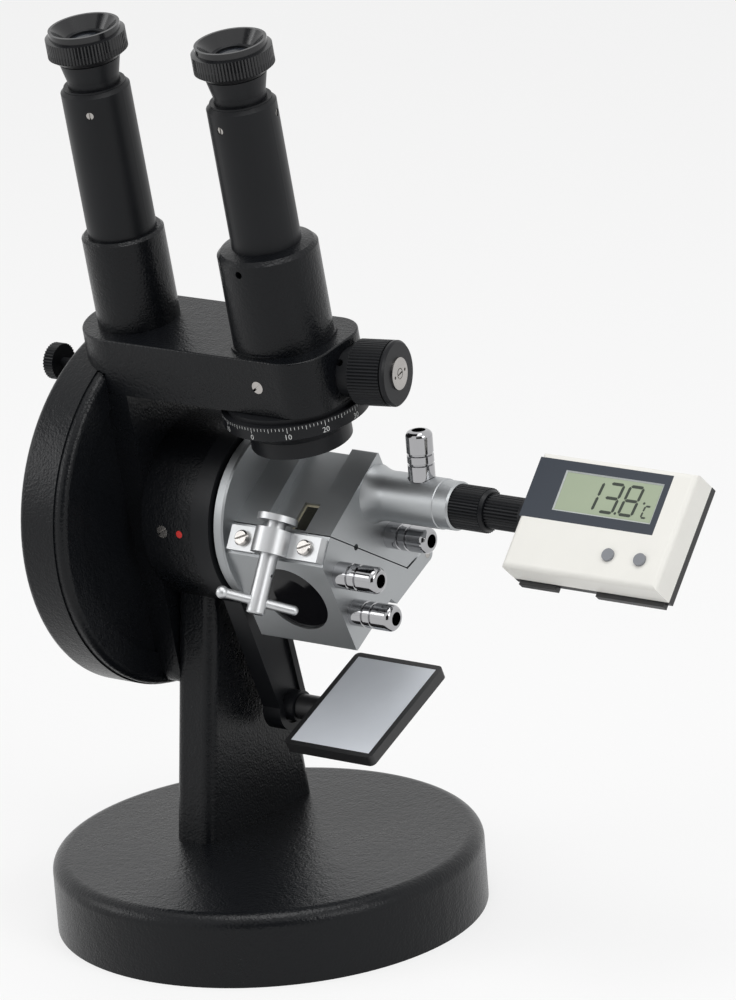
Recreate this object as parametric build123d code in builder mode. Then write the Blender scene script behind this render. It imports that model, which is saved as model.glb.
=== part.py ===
from build123d import *
from math import asin, atan2, cos, degrees, hypot, pi, radians, sin
import os

# Abbe refractometer with two leaning telescopes, a double prism on a level shaft,
# a scale drum and a clip-on digital thermometer. All lengths are in millimetres.
# The origin is the centre of the base's underside; +Z is up, +X runs along the main shaft
# from the scale drum to the prisms, and the observer sits on the -Y side.

# ---------------------------------------------------------------- driving dimensions
# clearances
RUN = 0.05                 # radial play of a shaft or pin that turns in its bore
SLIDE = 0.25               # free space between pieces that move past each other
SEAT = 0.02                # radial play of a piece that is fixed in its seat

# base and pillar
base_radius = 75.0
base_height = 25.6
base_edge = 5.0            # rounding of the top rim
base_relief = 1.5          # depth of the turned ring in the underside
relief_inset = 8.0         # from the base's rim to that ring
relief_width = 6.0
pillar_thickness = 16.0
pillar_foot_depth = 60.0   # front to back at the base
pillar_head_depth = 27.0   # front to back at the height of the shaft
pillar_corner = 4.0
bolt_radius = 4.0
bolt_reach = 12.0          # length of bolt in the pillar
bolt_head_radius = 6.5
bolt_head_depth = 8.0
bolt_sink = 1.0            # from the underside to the heads
bolt_key = 3.4             # circumradius of the hexagon socket
bolt_key_depth = 4.0
bolt_spacing = 20.0
trim_screw_radius = 2.2    # slotted screws in the housing and the bridge
trim_screw_length = 3.0
trim_slot_width = 0.8
trim_slot_turn = 35.0
trim_slot_depth = 0.7
housing_screw_at = (-21.2, 0.0)
index_plug_radius = 1.3
index_plug_at = (-13.8, 0.0)

# main shaft, which carries the prisms
shaft_y = 15.5
shaft_z = 139.6
shaft_radius = 9.0
frame_x = -30.0            # the plane where the housing meets the arm plate
housing_radius = 32.4
housing_length = 21.6
bush_wall = 2.5
bush_length = 7.0
shaft_play = 1.5           # the bores between the bushes are this much wider
shaft_collar = 1.5         # thickness of the collar between sector gear and scale
shaft_chamfer = 0.6

# arm plate between the drum and the housing
lean = 8.4                 # degrees by which the telescopes and the arm lean to the observer
arm_thickness = 9.5
arm_top_depth = 39.6       # as deep as the bridge that it carries
arm_foot_depth = 34.0
arm_length = 112.0         # from the bridge's underside to the arm's foot
arm_bulge = 30.0           # how far the arm's back edge lies behind the telescope plane
arm_bulge_below = 14.0     # that edge runs from here below the shaft
arm_bulge_above = 18.0     # to here above it
arm_foot_round = 6.0
arm_bulge_round = 10.0
light_bore = 3.0           # radius of the reading telescope's light path
prism_side = 5.6           # legs of the small prism that turns it to the scale
reading_inset = 4.0        # it meets the scale this far inside its rim

# scale drum
drum_radius = 65.4
drum_width = 15.5
drum_wall = 3.0
drum_edge = 2.5            # rounding of its closed end
cover_plate = 2.5          # thickness of the cover's flat middle
cover_lip = 1.5            # how far the cover's outer ring stands proud
cover_lip_width = 11.0
cover_step = 0.5           # the cover is this much smaller than the drum
pocket_play = 0.1          # round the arm plate where it lies in the cover
hub_radius = 16.0

# scale, sector gear and drive
gear_module = 1.0
sector_teeth = 99          # of a full wheel, of which a sector is cut
sector_teeth_kept = 21
pinion_teeth = 10
gear_width = 4.0
gear_setback = 11.0        # from the drum's open end to the gear's far side
scale_radius = 42.0
scale_thickness = 2.0
drive_angle = 20.0         # from straight up to the drive shaft, towards the observer
drive_shaft_radius = 1.6
drive_knob_radius = 6.4
drive_knob_width = 4.0
drive_knob_gap = 12.5      # bare shaft between drum and knob
drive_knob_flutes = 36
flute_depth = 0.4          # of the V grooves in every knurled grip

# bridge and telescopes
tube_spacing = 62.2
left_tube_x = -35.3
tube_y = 0.84              # where the telescope axes cross the bridge's underside
tube_z = 190.5
bridge_height = 20.0
bridge_depth = 39.6
bridge_overhang = 23.1     # its right end, from the right telescope's axis
bridge_right_round = 13.0
bridge_edge = 0.6
bridge_screw_at = (1.4, 10.2)  # from the right telescope's axis and the underside
foot_ring = 0.9            # width of the raised ring round the right sleeve's foot
foot_ring_height = 0.8
tube_radius = 11.85
tube_top = 106.0           # along the telescope axis, from the bridge's underside
tube_chamfer = 1.2
tube_lip_radius = 10.5     # low ring on top of the tube, round the eyepiece's neck
tube_lip_height = 0.7
left_sleeve_radius = 14.2
left_sleeve_top = 53.0
right_sleeve_radius = 17.2
right_sleeve_top = 55.0
sleeve_chamfer = 1.0
sleeve_cone = 0.8          # fall of the right sleeve's top face
sleeve_bevel = 1.4         # and the bevel round it
sleeve_hole_down = 5.0
set_screw_radius = 1.3
set_screw_sink = 0.3
set_screw_slot = 0.5
left_screw_at = (99.0, -66.0)      # along the tube, then round it from +X towards the back
right_screws_at = ((99.5, -96.0), (101.0, 21.0))
lens_sink = 5.0            # seat of the reading lens in the bridge
lens_rim = 3.0
lens_bulge = 1.2

# eyepieces
eyepiece_neck = 8.9        # radius of the part that slides in the tube
eyepiece_neck_show = 2.8   # length of neck that shows above the tube
eyepiece_insert = 16.0     # length of neck inside the tube
eyepiece_cone_top = 10.4
eyepiece_cone_height = 6.6
ring_radius = 13.65
ring_height = 6.4
ring_flutes = 72
ring_cone = 2.4            # height of the ring's lower cone
cup_radius = 12.2
cup_height = 2.6
cup_rim = 1.0
cup_step = 0.4
spigot_radius = 9.6        # part of the barrel on which the ring turns
spigot_length = 5.1
turret_radius = 7.3        # top of the barrel, round the eye lens
turret_height = 2.6
barrel_bore = 5.0
eye_lens_radius = 5.6
eye_lens_depth = 2.2
eye_lens_rim = 1.4
eye_lens_bulge = 0.6

# compensator under the right end of the bridge
dispersion_radius = 25.2
dispersion_height = 5.0
dispersion_gap = 2.0       # dark gap between the bridge and the graduated ring
bowl_radius = 23.2
bowl_depth = 5.0
snout_radius = 17.4
snout_length = 5.5
snout_bore = 9.5
comp_barrel_radius = 18.0  # barrel that carries the crown teeth up into the bridge
comp_barrel_wall = 4.0
crown_teeth = 36
crown_tooth_width = 0.8
crown_tip = 0.7            # in modules, as the next one
crown_root = 1.1
chamber_ledge = 1.5        # under the right tube
comp_pinion_teeth = 9
comp_pinion_width = 2.5
comp_shaft_radius = 2.0
collar_radius = 8.6
collar_length = 7.0
collar_start = 20.0        # spot face in the bridge, from the right telescope's axis
collar_hole = 1.25
collar_hole_at = 0.6       # share of the collar's length
collar_hole_turn = 27.0    # degrees up from the front
collar_hole_floor = 2.0    # from the shaft's bore
comp_height = 8.4          # of the knob's axis above the bridge's underside
comp_turn = 9.5            # degrees by which that axis is turned back from +X
comp_knob_radius = 11.2
comp_knob_length = 13.9
comp_knob_gap = 0.4
comp_knob_groove = 0.6
comp_knob_plate = 1.5      # thin plate beyond the groove
comp_knob_flutes = 60
comp_knob_edge = 0.7
comp_knob_floor = 3.0      # solid end beyond the shaft
end_disc_radius = 5.5
end_disc_thickness = 1.6
end_disc_proud = 0.6
end_disc_hub = 1.9         # engraved ring and slot, and two pin holes beside them
end_disc_line = 0.3
end_disc_pin_hole = 0.55
end_disc_pin_at = 3.6
amici_half = 8.5           # half width of the compensator's prism
amici_height = 12.0
amici_slant = 3.0
amici_foot = 3.6           # the prism stands this far above the snout's end

# prism flange and mirror bracket
bracket_radius = 32.8
bracket_thickness = 7.6
bracket_rim = 1.2          # the bracket's border stands this much proud
bracket_border = 2.6       # and is this wide
tongue_end = (5.9, -73.2)  # centre of the tongue's round end, from the shaft
tongue_end_radius = 7.9
tongue_root = (5.0, -32.6) # where its back edge leaves the disc
mirror_boss_radius = 5.5
mirror_boss_length = 3.6
tongue_heel = 12.0         # degrees round the tongue's end where its back edge starts
bracket_floor = 2.0        # metal behind the pin's hole
flange_gap = 0.8
flange_radius = 31.4
flange_thickness = 4.2
flange_edge = 0.6

# prism boxes, in the frame of the parting plane: first number back from the front edge
# along the plane, second number up from it
parting = 30.0             # degrees by which the parting plane falls to the back
box_width = 40.8           # along the shaft
shaft_in_box = (23.1, 8.2)
upper_apex = (15.2, 33.3)
upper_back = (51.6, 5.8)
parting_depth = 46.9       # length of the parting plane
lower_front = 10.8         # height of the lower box's front face
lower_bottom = (30.3, -33.1)
lower_back = (42.3, -12.0)
parting_gap = 0.4
box_round = 0.5            # top and bottom edges
prism_inset = 3.0          # wall between a box's end face and its prism
prism_front = 4.9          # the measuring prism's lower front edge, behind the box's
prism_rise = 12.8          # its height
prism_back = 41.0
prism_top_back = 34.0
lower_prism_front = 5.5
lower_prism_face = 4.7     # height of its front face
lower_prism_low = (25.0, -19.3)
lower_prism_back = 40.0
window_radius = 13.4
window_side = 1.4          # its centre to the right of the box's middle
window_down = 17.4         # and below the front edge of its slope
window_recess = 1.2
window_light_margin = 3.0
window_light_depth = 9.0
hole_at = 15.7             # small hole in the right face, across the parting line
hole_radius = 1.1
hole_depth = 2.0
hinge_at = (57.0, 7.2)
hinge_barrel = 2.8
hinge_pin_radius = 1.3
hinge_gap = 0.35
hinge_lug = 7.0            # length of each of the lower box's two knuckles
leaf_heel = (46.4, -12.8)   # rear corners of the lower box's hinge leaf
leaf_tip = (59.2, 5.6)
leaf_gap = 0.8             # from the upper box's rear face to the leaf
leaf_rise = 9.7            # the leaf's length along that face
lug_top = 45.0             # where the upper box's knuckle leaves its sloping back
lug_foot = (50.0, 4.5)     # and its rear face
trough_left = 11.6         # solid strip on the drum side of the telescope's trough
trough_width = 18.4
trough_depth = 3.2
sight_left = 20.8          # window in the trough, over the measuring prism
sight_width = 8.5
sight_start = 2.6
sight_length = 11.3
sight_depth = 4.6

# latch on the front of the lower box
latch_side = 1.0           # the latch stands this far to the right of the box's middle
bar_inset = 1.4            # from the box's sides to the clamp bar's ends
bar_height = 8.6
bar_thickness = 4.0
bar_top = 1.4              # below the parting plane
boss_radius = 6.6
latch_offset = 5.0         # spindle axis in front of the box
spindle_radius = 3.2
spindle_end = 30.6
spindle_hole = 0.6
spindle_hole_down = 17.0
latch_disc_radius = 7.0
latch_disc_height = 2.2
latch_disc_base = 1.2      # above the parting plane
latch_flat = 4.4           # flat of the disc, from the spindle's axis
crossbar_radius = 1.7
crossbar_knob = 2.2        # radius of the ball on its left end
crossbar_length = 25.0
crossbar_at = 26.2
crossbar_turn = 45.0       # as the handle is left, from the shaft's direction
clamp_screw_spacing = 26.5
clamp_screw_radius = 2.75
clamp_screw_head = 1.6
clamp_screw_core = 1.5
clamp_screw_reach = 3.6    # in the box
clamp_screw_slot = 0.9
clamp_screw_turn = 25.0
clamp_screw_edge = 0.5

# hose nozzles
nozzle_radius = 4.6
nozzle_length = 17.2
nozzle_bore = 2.4
nozzle_spigot = 3.3        # plain end that is pressed in
nozzle_seat = 2.4          # depth of its seat
nozzle_grooves_at = (5.2, 8.6)
nozzle_groove_width = 1.0
nozzle_groove_depth = 0.6
nozzle_nose = 2.0          # length of the rounded end
lower_nozzles_at = ((10.5, -10.8), (24.1, -20.8))
upper_nozzle_at = (33.5, 8.5)

# thermometer
well_at = (20.4, 19.9)
well_radius = 8.7
well_flare = 10.2
well_length = 35.0
well_flare_length = 8.0
well_bore = 6.4
well_ring = 6.2            # length of the turned-down end
well_ring_step = 0.3
well_bevel = 0.6
well_floor = 4.0
well_floor_cone = 2.0
well_nozzle_x = 19.5       # the upright nozzle's distance from the box's end face
upright_sink = 0.9         # its seat lies this far below the well's top
nut_radius = 7.7
nut_length = 12.0
nut_nose = 1.2
nut_nose_taper = 30.0
nut_flutes = 44
nut_spigot = 6.0           # length of the nut inside the well
nut_gap = 0.2
stem_radius = 5.6
stem_sink = 2.0            # the stem reaches this far past the nut's spigot
stem_grip = 6.0            # radius of the ribbed stretch between nut and display
stem_grip_flutes = 32
stem_show = 14.6           # length of stem between nut and display
probe_radius = 2.0
probe_length = 52.0
probe_hole = 27.0          # depth of its hole in the box
lug_radius = 6.6           # ear of the display that holds the stem
lug_length = 3.6

# display, tilted back on the stem
display_tilt = 47.6        # degrees from lying flat
case_width = 62.0
case_height = 42.3
case_depth = 10.3
case_wall = 1.8
case_round = 2.0
back_depth = 3.6
back_round = 1.2
back_lip = 2.0             # the back's rim inside the case, in height and in width
stem_behind = 10.1         # the stem's axis lies this far behind the front face
stem_above = 1.2           # and this far above the display's middle
panel_width = 53.5
panel_height = 21.8
panel_top = 2.0
panel_depth = 0.8
lcd_left = 11.8
lcd_width = 39.3
lcd_top = 5.4
lcd_height = 14.7
lcd_depth = 1.6
lcd_sink = 0.4
button_radius = 2.2
button_height = 0.9
button_down = 33.0
button_lefts = (39.9, 52.5)
button_flange = 0.9
button_foot = 1.0
feet = ((2.0, 15.0), (33.0, 27.0))     # distance from the left and width of each foot
foot_height = 2.6
foot_inset = 1.0           # of the feet under the case's lower edge
foot_depth_inset = 0.6

# mirror
mirror_x = 13.0            # near edge of the frame
mirror_width = 37.4
mirror_length = 48.6
mirror_thickness = 4.0
mirror_border = 2.0
mirror_tilt = 22.5
mirror_glass_thickness = 2.0
mirror_pivot = (21.5, 67.5)
mirror_rise = 4.2          # from the pivot to the frame's middle
mirror_pin_radius = 2.5
mirror_collar = 2.0        # the collar's wall round the pin
mirror_collar_reach = 6.0  # under the frame
mirror_round = 2.0
mirror_running_gap = 0.3

# ---------------------------------------------------------------- places worked out from them
u_y, u_z = -sin(radians(lean)), cos(radians(lean))
arm_x = frame_x - arm_thickness
drum_x = arm_x - cover_plate
drum_back_x = drum_x - drum_width
housing_right_x = frame_x + housing_length
bracket_x = housing_right_x + bracket_thickness
flange_x = bracket_x + flange_gap
box_x = flange_x + flange_thickness
box_end_x = box_x + box_width
box_mid_x = box_x + box_width / 2
right_tube_x = left_tube_x + tube_spacing
bridge_right_x = right_tube_x + bridge_overhang
latch_x = box_mid_x + latch_side
e_y, e_z = cos(radians(parting)), -sin(radians(parting))
corner_y = shaft_y - shaft_in_box[0] * e_y + shaft_in_box[1] * e_z
corner_z = shaft_z - shaft_in_box[0] * e_z - shaft_in_box[1] * e_y


def across(x):
    """The plane at station x, looking along +X, with its origin on the main shaft."""
    return Plane(origin=(x, shaft_y, shaft_z), x_dir=(0, 1, 0), z_dir=(1, 0, 0))


def telescope(x, s):
    """The plane square to a telescope at distance s along it from the bridge's underside."""
    return Plane(origin=(x, tube_y + s * u_y, tube_z + s * u_z), x_dir=(1, 0, 0), z_dir=(0, u_y, u_z))


def box_plane(x):
    """The plane at station x whose first axis runs back along the parting plane."""
    return Plane(origin=(x, corner_y, corner_z), x_dir=(0, e_y, e_z), z_dir=(1, 0, 0))


def box_point(at, x=0.0):
    """World place of a point given in the frame of the parting plane."""
    return (x, corner_y + at[0] * e_y - at[1] * e_z, corner_z + at[0] * e_z + at[1] * e_y)


def gear_outline(teeth, module, count, first, addendum=0.9, dedendum=1.2, thick=0.42):
    """Corner points of straight-flanked teeth; first is the angle of the first tooth."""
    pitch = 360.0 / teeth
    r_pitch = module * teeth / 2
    r_tip, r_root = r_pitch + addendum * module, r_pitch - dedendum * module
    points = []
    for i in range(count):
        middle = first + i * pitch
        for r, share in ((r_root, -0.72), (r_tip, -0.32), (r_tip, 0.32), (r_root, 0.72)):
            a = radians(middle + share * thick * pitch)
            points.append((r * cos(a), r * sin(a)))
    return points


def knurl(radius, count):
    """Cross-section of a round grip with V grooves round its rim."""
    with BuildSketch() as grip:
        Circle(radius)
        with PolarLocations(radius, count):
            RegularPolygon(flute_depth, 4, mode=Mode.SUBTRACT)
    return grip.sketch


def write(builder, name):
    """Label a finished piece and write its file."""
    builder.part.label = name
    export_step(builder.part, f"parts/{name}.step")


os.makedirs("parts", exist_ok=True)

# ---------------------------------------------------------------- base and pillar
pillar_mid_y = shaft_y
pillar_mid_x = frame_x + pillar_thickness / 2
bolt_places = [(pillar_mid_x, pillar_mid_y + k * bolt_spacing) for k in (-1, 0, 1)]
with BuildPart() as base:
    Cylinder(base_radius, base_height, align=(Align.CENTER, Align.CENTER, Align.MIN))
    fillet(base.edges().filter_by(GeomType.CIRCLE).group_by(Axis.Z)[-1], base_edge)
    with BuildSketch(Plane.XY) as relief:
        Circle(base_radius - relief_inset)
        Circle(base_radius - relief_inset - relief_width, mode=Mode.SUBTRACT)
    extrude(amount=base_relief, mode=Mode.SUBTRACT)
    with Locations(*[Location((x, y, 0)) for x, y in bolt_places]):
        Cylinder(bolt_radius + SEAT, base_height, align=(Align.CENTER, Align.CENTER, Align.MIN),
                 mode=Mode.SUBTRACT)
        Cylinder(bolt_head_radius + SLIDE, bolt_head_depth + bolt_sink, mode=Mode.SUBTRACT,
                 align=(Align.CENTER, Align.CENTER, Align.MIN))
write(base, "base")

with BuildPart() as base_bolts:
    with Locations(*[Location((x, y, bolt_sink)) for x, y in bolt_places]):
        Cylinder(bolt_head_radius, bolt_head_depth, align=(Align.CENTER, Align.CENTER, Align.MIN))
        Cylinder(bolt_radius, base_height + bolt_reach - bolt_sink,
                 align=(Align.CENTER, Align.CENTER, Align.MIN))
    with BuildSketch(Plane.XY.offset(bolt_sink)):
        with Locations(*bolt_places):
            RegularPolygon(bolt_key, 6)
    extrude(amount=bolt_key_depth, mode=Mode.SUBTRACT)
write(base_bolts, "base_bolts")

housing_front = Plane(origin=(0, shaft_y - housing_radius, shaft_z), x_dir=(1, 0, 0), z_dir=(0, -1, 0))
with BuildPart() as pillar:
    with BuildSketch(across(frame_x)):
        Polygon((-pillar_foot_depth / 2, base_height - shaft_z),
                (pillar_foot_depth / 2, base_height - shaft_z),
                (pillar_head_depth / 2, 0), (-pillar_head_depth / 2, 0), align=None)
    extrude(amount=pillar_thickness)
    slanted = [edge for edge in pillar.edges() if edge.length > shaft_z - base_height]
    fillet(slanted, pillar_corner)
    with BuildSketch(across(frame_x)):
        Circle(housing_radius)
    extrude(amount=housing_length)
    with BuildSketch(across(frame_x)):
        Circle(shaft_radius + shaft_play)
    extrude(amount=housing_length, mode=Mode.SUBTRACT)
    for start in (frame_x, housing_right_x - bush_length):
        with BuildSketch(across(start)):
            Circle(shaft_radius + bush_wall + SEAT)
        extrude(amount=bush_length, mode=Mode.SUBTRACT)
    with Locations(*[Location((x, y, base_height)) for x, y in bolt_places]):
        Cylinder(bolt_radius + SEAT, bolt_reach + SLIDE, align=(Align.CENTER, Align.CENTER, Align.MIN),
                 mode=Mode.SUBTRACT)
    with BuildSketch(housing_front):
        with Locations(housing_screw_at):
            Circle(trim_screw_radius + SEAT)
        with Locations(index_plug_at):
            Circle(index_plug_radius + SEAT)
    extrude(amount=-trim_screw_length, mode=Mode.SUBTRACT)
write(pillar, "pillar")

with BuildPart() as shaft_bushes:
    for start in (frame_x, housing_right_x - bush_length):
        with BuildSketch(across(start)):
            Circle(shaft_radius + bush_wall)
            Circle(shaft_radius + RUN, mode=Mode.SUBTRACT)
        extrude(amount=bush_length)
write(shaft_bushes, "shaft_bushes")

# ---------------------------------------------------------------- arm plate, drum and cover
def side(x):
    """The plane at station x whose second axis runs up the telescopes from the bridge's underside."""
    return Plane(origin=(x, tube_y, tube_z), x_dir=(0, u_z, -u_y), z_dir=(1, 0, 0))


shaft_w = (shaft_y - tube_y) * u_z - (shaft_z - tube_z) * u_y
shaft_u = (shaft_y - tube_y) * u_y + (shaft_z - tube_z) * u_z
reading_radius = scale_radius - reading_inset
reading_u = shaft_u + (reading_radius ** 2 - shaft_w ** 2) ** 0.5
half_top = arm_top_depth / 2

with BuildSketch() as arm_outline:
    with BuildLine():
        Polyline((-half_top, 0), (-half_top, -arm_length), (arm_foot_depth - half_top, -arm_length),
                 (arm_bulge, shaft_u - arm_bulge_below), (arm_bulge, shaft_u + arm_bulge_above),
                 (half_top, 0), close=True)
    make_face()
    fillet(arm_outline.vertices().group_by(Axis.Y)[0], arm_foot_round)
    fillet(arm_outline.vertices().group_by(Axis.X)[-1], arm_bulge_round)

with BuildPart() as arm_plate:
    with BuildSketch(side(arm_x)):
        add(arm_outline.sketch)
        with Locations((shaft_w, shaft_u)):
            Circle(shaft_radius + shaft_play, mode=Mode.SUBTRACT)
    extrude(amount=arm_thickness)
    with BuildSketch(telescope(left_tube_x, 0)):
        Circle(light_bore)
    extrude(amount=reading_u - prism_side / 2, mode=Mode.SUBTRACT)
    with BuildSketch(side(arm_x)):
        with Locations((0, reading_u)):
            Rectangle(prism_side + 2 * SEAT, prism_side + 2 * SEAT)
    extrude(amount=left_tube_x - arm_x + prism_side / 2 + SEAT, mode=Mode.SUBTRACT)
write(arm_plate, "arm_plate")

with BuildPart() as reading_prism:
    mirror_face = Plane(origin=telescope(left_tube_x, reading_u).origin, x_dir=(1, 0, 0),
                        z_dir=(0, u_z, -u_y))
    with BuildSketch(mirror_face.offset(-prism_side / 2)):
        with BuildLine():
            h = prism_side / 2
            Polyline((-h, -h), (h, -h), (-h, h), close=True)
        make_face()
    extrude(amount=prism_side)
write(reading_prism, "reading_prism")


def drive_plane(x):
    """The plane at station x across the drive shaft, with its origin on that shaft."""
    reach = gear_module * (sector_teeth + pinion_teeth) / 2
    y = shaft_y - reach * sin(radians(drive_angle))
    z = shaft_z + reach * cos(radians(drive_angle))
    return Plane(origin=(x, y, z), x_dir=(0, 1, 0), z_dir=(1, 0, 0))


with BuildPart() as drum_shell:
    with BuildSketch(across(drum_back_x)):
        Circle(drum_radius)
    extrude(amount=drum_width)
    fillet(drum_shell.edges().filter_by(GeomType.CIRCLE).group_by(Axis.X)[0], drum_edge)
    with BuildSketch(across(drum_back_x + drum_wall)):
        Circle(drum_radius - drum_wall)
    extrude(amount=drum_width, mode=Mode.SUBTRACT)
    with BuildSketch(drive_plane(drum_back_x)):
        Circle(drive_shaft_radius + RUN)
    extrude(amount=drum_wall, mode=Mode.SUBTRACT)
write(drum_shell, "drum_shell")

with BuildPart() as drum_cover:
    cover_radius = drum_radius - cover_step
    with BuildSketch(across(drum_x)):
        Circle(cover_radius)
    extrude(amount=cover_plate + cover_lip)
    fillet(drum_cover.edges().filter_by(GeomType.CIRCLE).group_by(Axis.X)[-1], cover_plate)
    with BuildSketch(across(arm_x)):
        Circle(cover_radius - cover_lip_width)
    extrude(amount=cover_lip, mode=Mode.SUBTRACT)
    with BuildSketch(side(arm_x)):
        offset(arm_outline.sketch, amount=pocket_play)
    extrude(amount=cover_lip, mode=Mode.SUBTRACT)
    with BuildSketch(across(drum_x)):
        Circle(shaft_radius + shaft_play)
    extrude(amount=cover_plate, mode=Mode.SUBTRACT)
    with BuildSketch(side(drum_x)):
        with Locations((0, reading_u)):
            Circle(light_bore)
    extrude(amount=cover_plate, mode=Mode.SUBTRACT)
write(drum_cover, "drum_cover")

# ---------------------------------------------------------------- main shaft, gear, scale, flange
gear_x = drum_x - gear_setback
shaft_collar_x = gear_x + gear_width
scale_x = shaft_collar_x + shaft_collar
with BuildPart() as main_shaft:
    with BuildSketch(across(gear_x)):
        Circle(shaft_radius)
    extrude(amount=flange_x - gear_x)
    with BuildSketch(across(shaft_collar_x)):
        Circle(hub_radius)
    extrude(amount=shaft_collar)
    chamfer(main_shaft.edges().filter_by(GeomType.CIRCLE).group_by(Axis.X)[0], shaft_chamfer)
write(main_shaft, "main_shaft")

drive_direction = 90 + drive_angle
tooth_pitch = 360.0 / sector_teeth
first_tooth = drive_direction - (sector_teeth_kept - 1) / 2 * tooth_pitch
with BuildPart() as sector_gear:
    with BuildSketch(across(gear_x)):
        with BuildLine():
            Polyline(*gear_outline(sector_teeth, gear_module, sector_teeth_kept, first_tooth), (0, 0),
                     close=True)
        make_face()
        Circle(hub_radius)
        Circle(shaft_radius + SEAT, mode=Mode.SUBTRACT)
    extrude(amount=gear_width)
write(sector_gear, "sector_gear")

with BuildPart() as scale_disc:
    with BuildSketch(across(scale_x)):
        Circle(scale_radius)
        Circle(shaft_radius + SEAT, mode=Mode.SUBTRACT)
    extrude(amount=scale_thickness)
write(scale_disc, "scale_disc")

with BuildPart() as prism_flange:
    with BuildSketch(across(flange_x)):
        Circle(flange_radius)
    extrude(amount=flange_thickness)
    chamfer(prism_flange.edges().filter_by(GeomType.CIRCLE), flange_edge)
write(prism_flange, "prism_flange")

# ---------------------------------------------------------------- drive pinion and knob
pinion_first = drive_direction + 180 + 180.0 / pinion_teeth
with BuildPart() as drive_pinion:
    with BuildSketch(drive_plane(gear_x)):
        with BuildLine():
            Polyline(*gear_outline(pinion_teeth, gear_module, pinion_teeth, pinion_first), close=True)
        make_face()
        Circle(drive_shaft_radius + SEAT, mode=Mode.SUBTRACT)
    extrude(amount=gear_width)
write(drive_pinion, "drive_pinion")

drive_knob_x = drum_back_x - drive_knob_gap - drive_knob_width
with BuildPart() as drive_knob:
    with BuildSketch(drive_plane(drive_knob_x)):
        Circle(drive_shaft_radius)
    extrude(amount=gear_x + gear_width - drive_knob_x)
    with BuildSketch(drive_plane(drive_knob_x)):
        add(knurl(drive_knob_radius, drive_knob_flutes))
    extrude(amount=drive_knob_width)
write(drive_knob, "drive_knob")

# ---------------------------------------------------------------- bridge
crown_radius = comp_barrel_radius - comp_barrel_wall / 2
comp_module = 2 * crown_radius / crown_teeth
comp_pinion_radius = comp_module * comp_pinion_teeth / 2
crown_s = comp_height - comp_pinion_radius
chamber_s = comp_height + comp_pinion_radius + comp_module + SLIDE
half_bridge = bridge_depth / 2
bridge_front = Plane(origin=telescope(right_tube_x, 0).origin - Vector(0, u_z, -u_y) * half_bridge,
                     x_dir=(1, 0, 0), z_dir=(0, -u_z, u_y))


def knob_plane(distance):
    """The plane square to the compensator knob's axis, at a distance from the telescope's axis."""
    turn = radians(comp_turn)
    out = Vector(cos(turn), sin(turn) * u_z, -sin(turn) * u_y)
    start = telescope(right_tube_x, comp_height).origin
    return Plane(origin=start + out * distance, x_dir=(-sin(turn), cos(turn) * u_z, -cos(turn) * u_y),
                 z_dir=out)


with BuildPart() as bridge:
    with BuildSketch(telescope(left_tube_x, 0)) as bridge_outline:
        Circle(half_bridge)
        Rectangle(bridge_right_x - left_tube_x, bridge_depth, align=(Align.MIN, Align.CENTER))
        fillet(bridge_outline.vertices().group_by(Axis.X)[-1], bridge_right_round)
    extrude(amount=bridge_height)
    with BuildSketch(telescope(left_tube_x, 0)):
        Circle(light_bore)
    extrude(amount=bridge_height, mode=Mode.SUBTRACT)
    with BuildSketch(telescope(left_tube_x, bridge_height - lens_sink)):
        Circle(eyepiece_neck + RUN)
    extrude(amount=lens_sink, mode=Mode.SUBTRACT)
    with BuildSketch(telescope(right_tube_x, 0)):
        Circle(comp_barrel_radius + RUN)
    extrude(amount=chamber_s, mode=Mode.SUBTRACT)
    with BuildSketch(telescope(right_tube_x, chamber_s)):
        Circle(eyepiece_neck - chamber_ledge)
    extrude(amount=bridge_height, mode=Mode.SUBTRACT)
    with BuildSketch(across(arm_x + cover_lip + pocket_play)):
        Circle(drum_radius + SEAT)
    extrude(amount=-bridge_depth, mode=Mode.SUBTRACT)
    with BuildSketch(knob_plane(comp_barrel_radius / 2)):
        Circle(comp_shaft_radius + SLIDE)
    extrude(amount=comp_barrel_radius, mode=Mode.SUBTRACT)
    with BuildSketch(knob_plane(collar_start)):
        Circle(collar_radius + SEAT)
    extrude(amount=collar_length, mode=Mode.SUBTRACT)
    with BuildSketch(bridge_front):
        with Locations(bridge_screw_at):
            Circle(trim_screw_radius + SEAT)
    extrude(amount=-trim_screw_length, mode=Mode.SUBTRACT)
    top_face = bridge.faces().sort_by(Axis(telescope(0, 0).origin, (0, u_y, u_z)))[-1]
    fillet(top_face.outer_wire().edges(), bridge_edge)
    with BuildSketch(telescope(right_tube_x, bridge_height)):
        Circle(right_sleeve_radius + foot_ring)
        Circle(right_sleeve_radius + SEAT, mode=Mode.SUBTRACT)
    extrude(amount=foot_ring_height)
write(bridge, "bridge")

with BuildPart() as slotted_screws:
    for face, place in ((housing_front, housing_screw_at), (bridge_front, bridge_screw_at)):
        with BuildSketch(face):
            with Locations(place):
                Circle(trim_screw_radius)
        extrude(amount=-trim_screw_length)
        with BuildSketch(face):
            with Locations(place):
                Rectangle(2 * trim_screw_radius, trim_slot_width, rotation=trim_slot_turn)
        extrude(amount=-trim_slot_depth, mode=Mode.SUBTRACT)
write(slotted_screws, "slotted_screws")

with BuildPart() as index_plug:
    with BuildSketch(housing_front):
        with Locations(index_plug_at):
            Circle(index_plug_radius)
    extrude(amount=-trim_screw_length)
write(index_plug, "index_plug")

# ---------------------------------------------------------------- sleeves and tubes
tube_bore = eyepiece_neck + RUN


def radial(x, s, turn, distance):
    """The plane square to a radius of a telescope; turn is measured back from +X."""
    a = radians(turn)
    out = Vector(cos(a), sin(a) * u_z, -sin(a) * u_y)
    return Plane(origin=telescope(x, s).origin + out * distance, x_dir=(0, u_y, u_z), z_dir=out)


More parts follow.
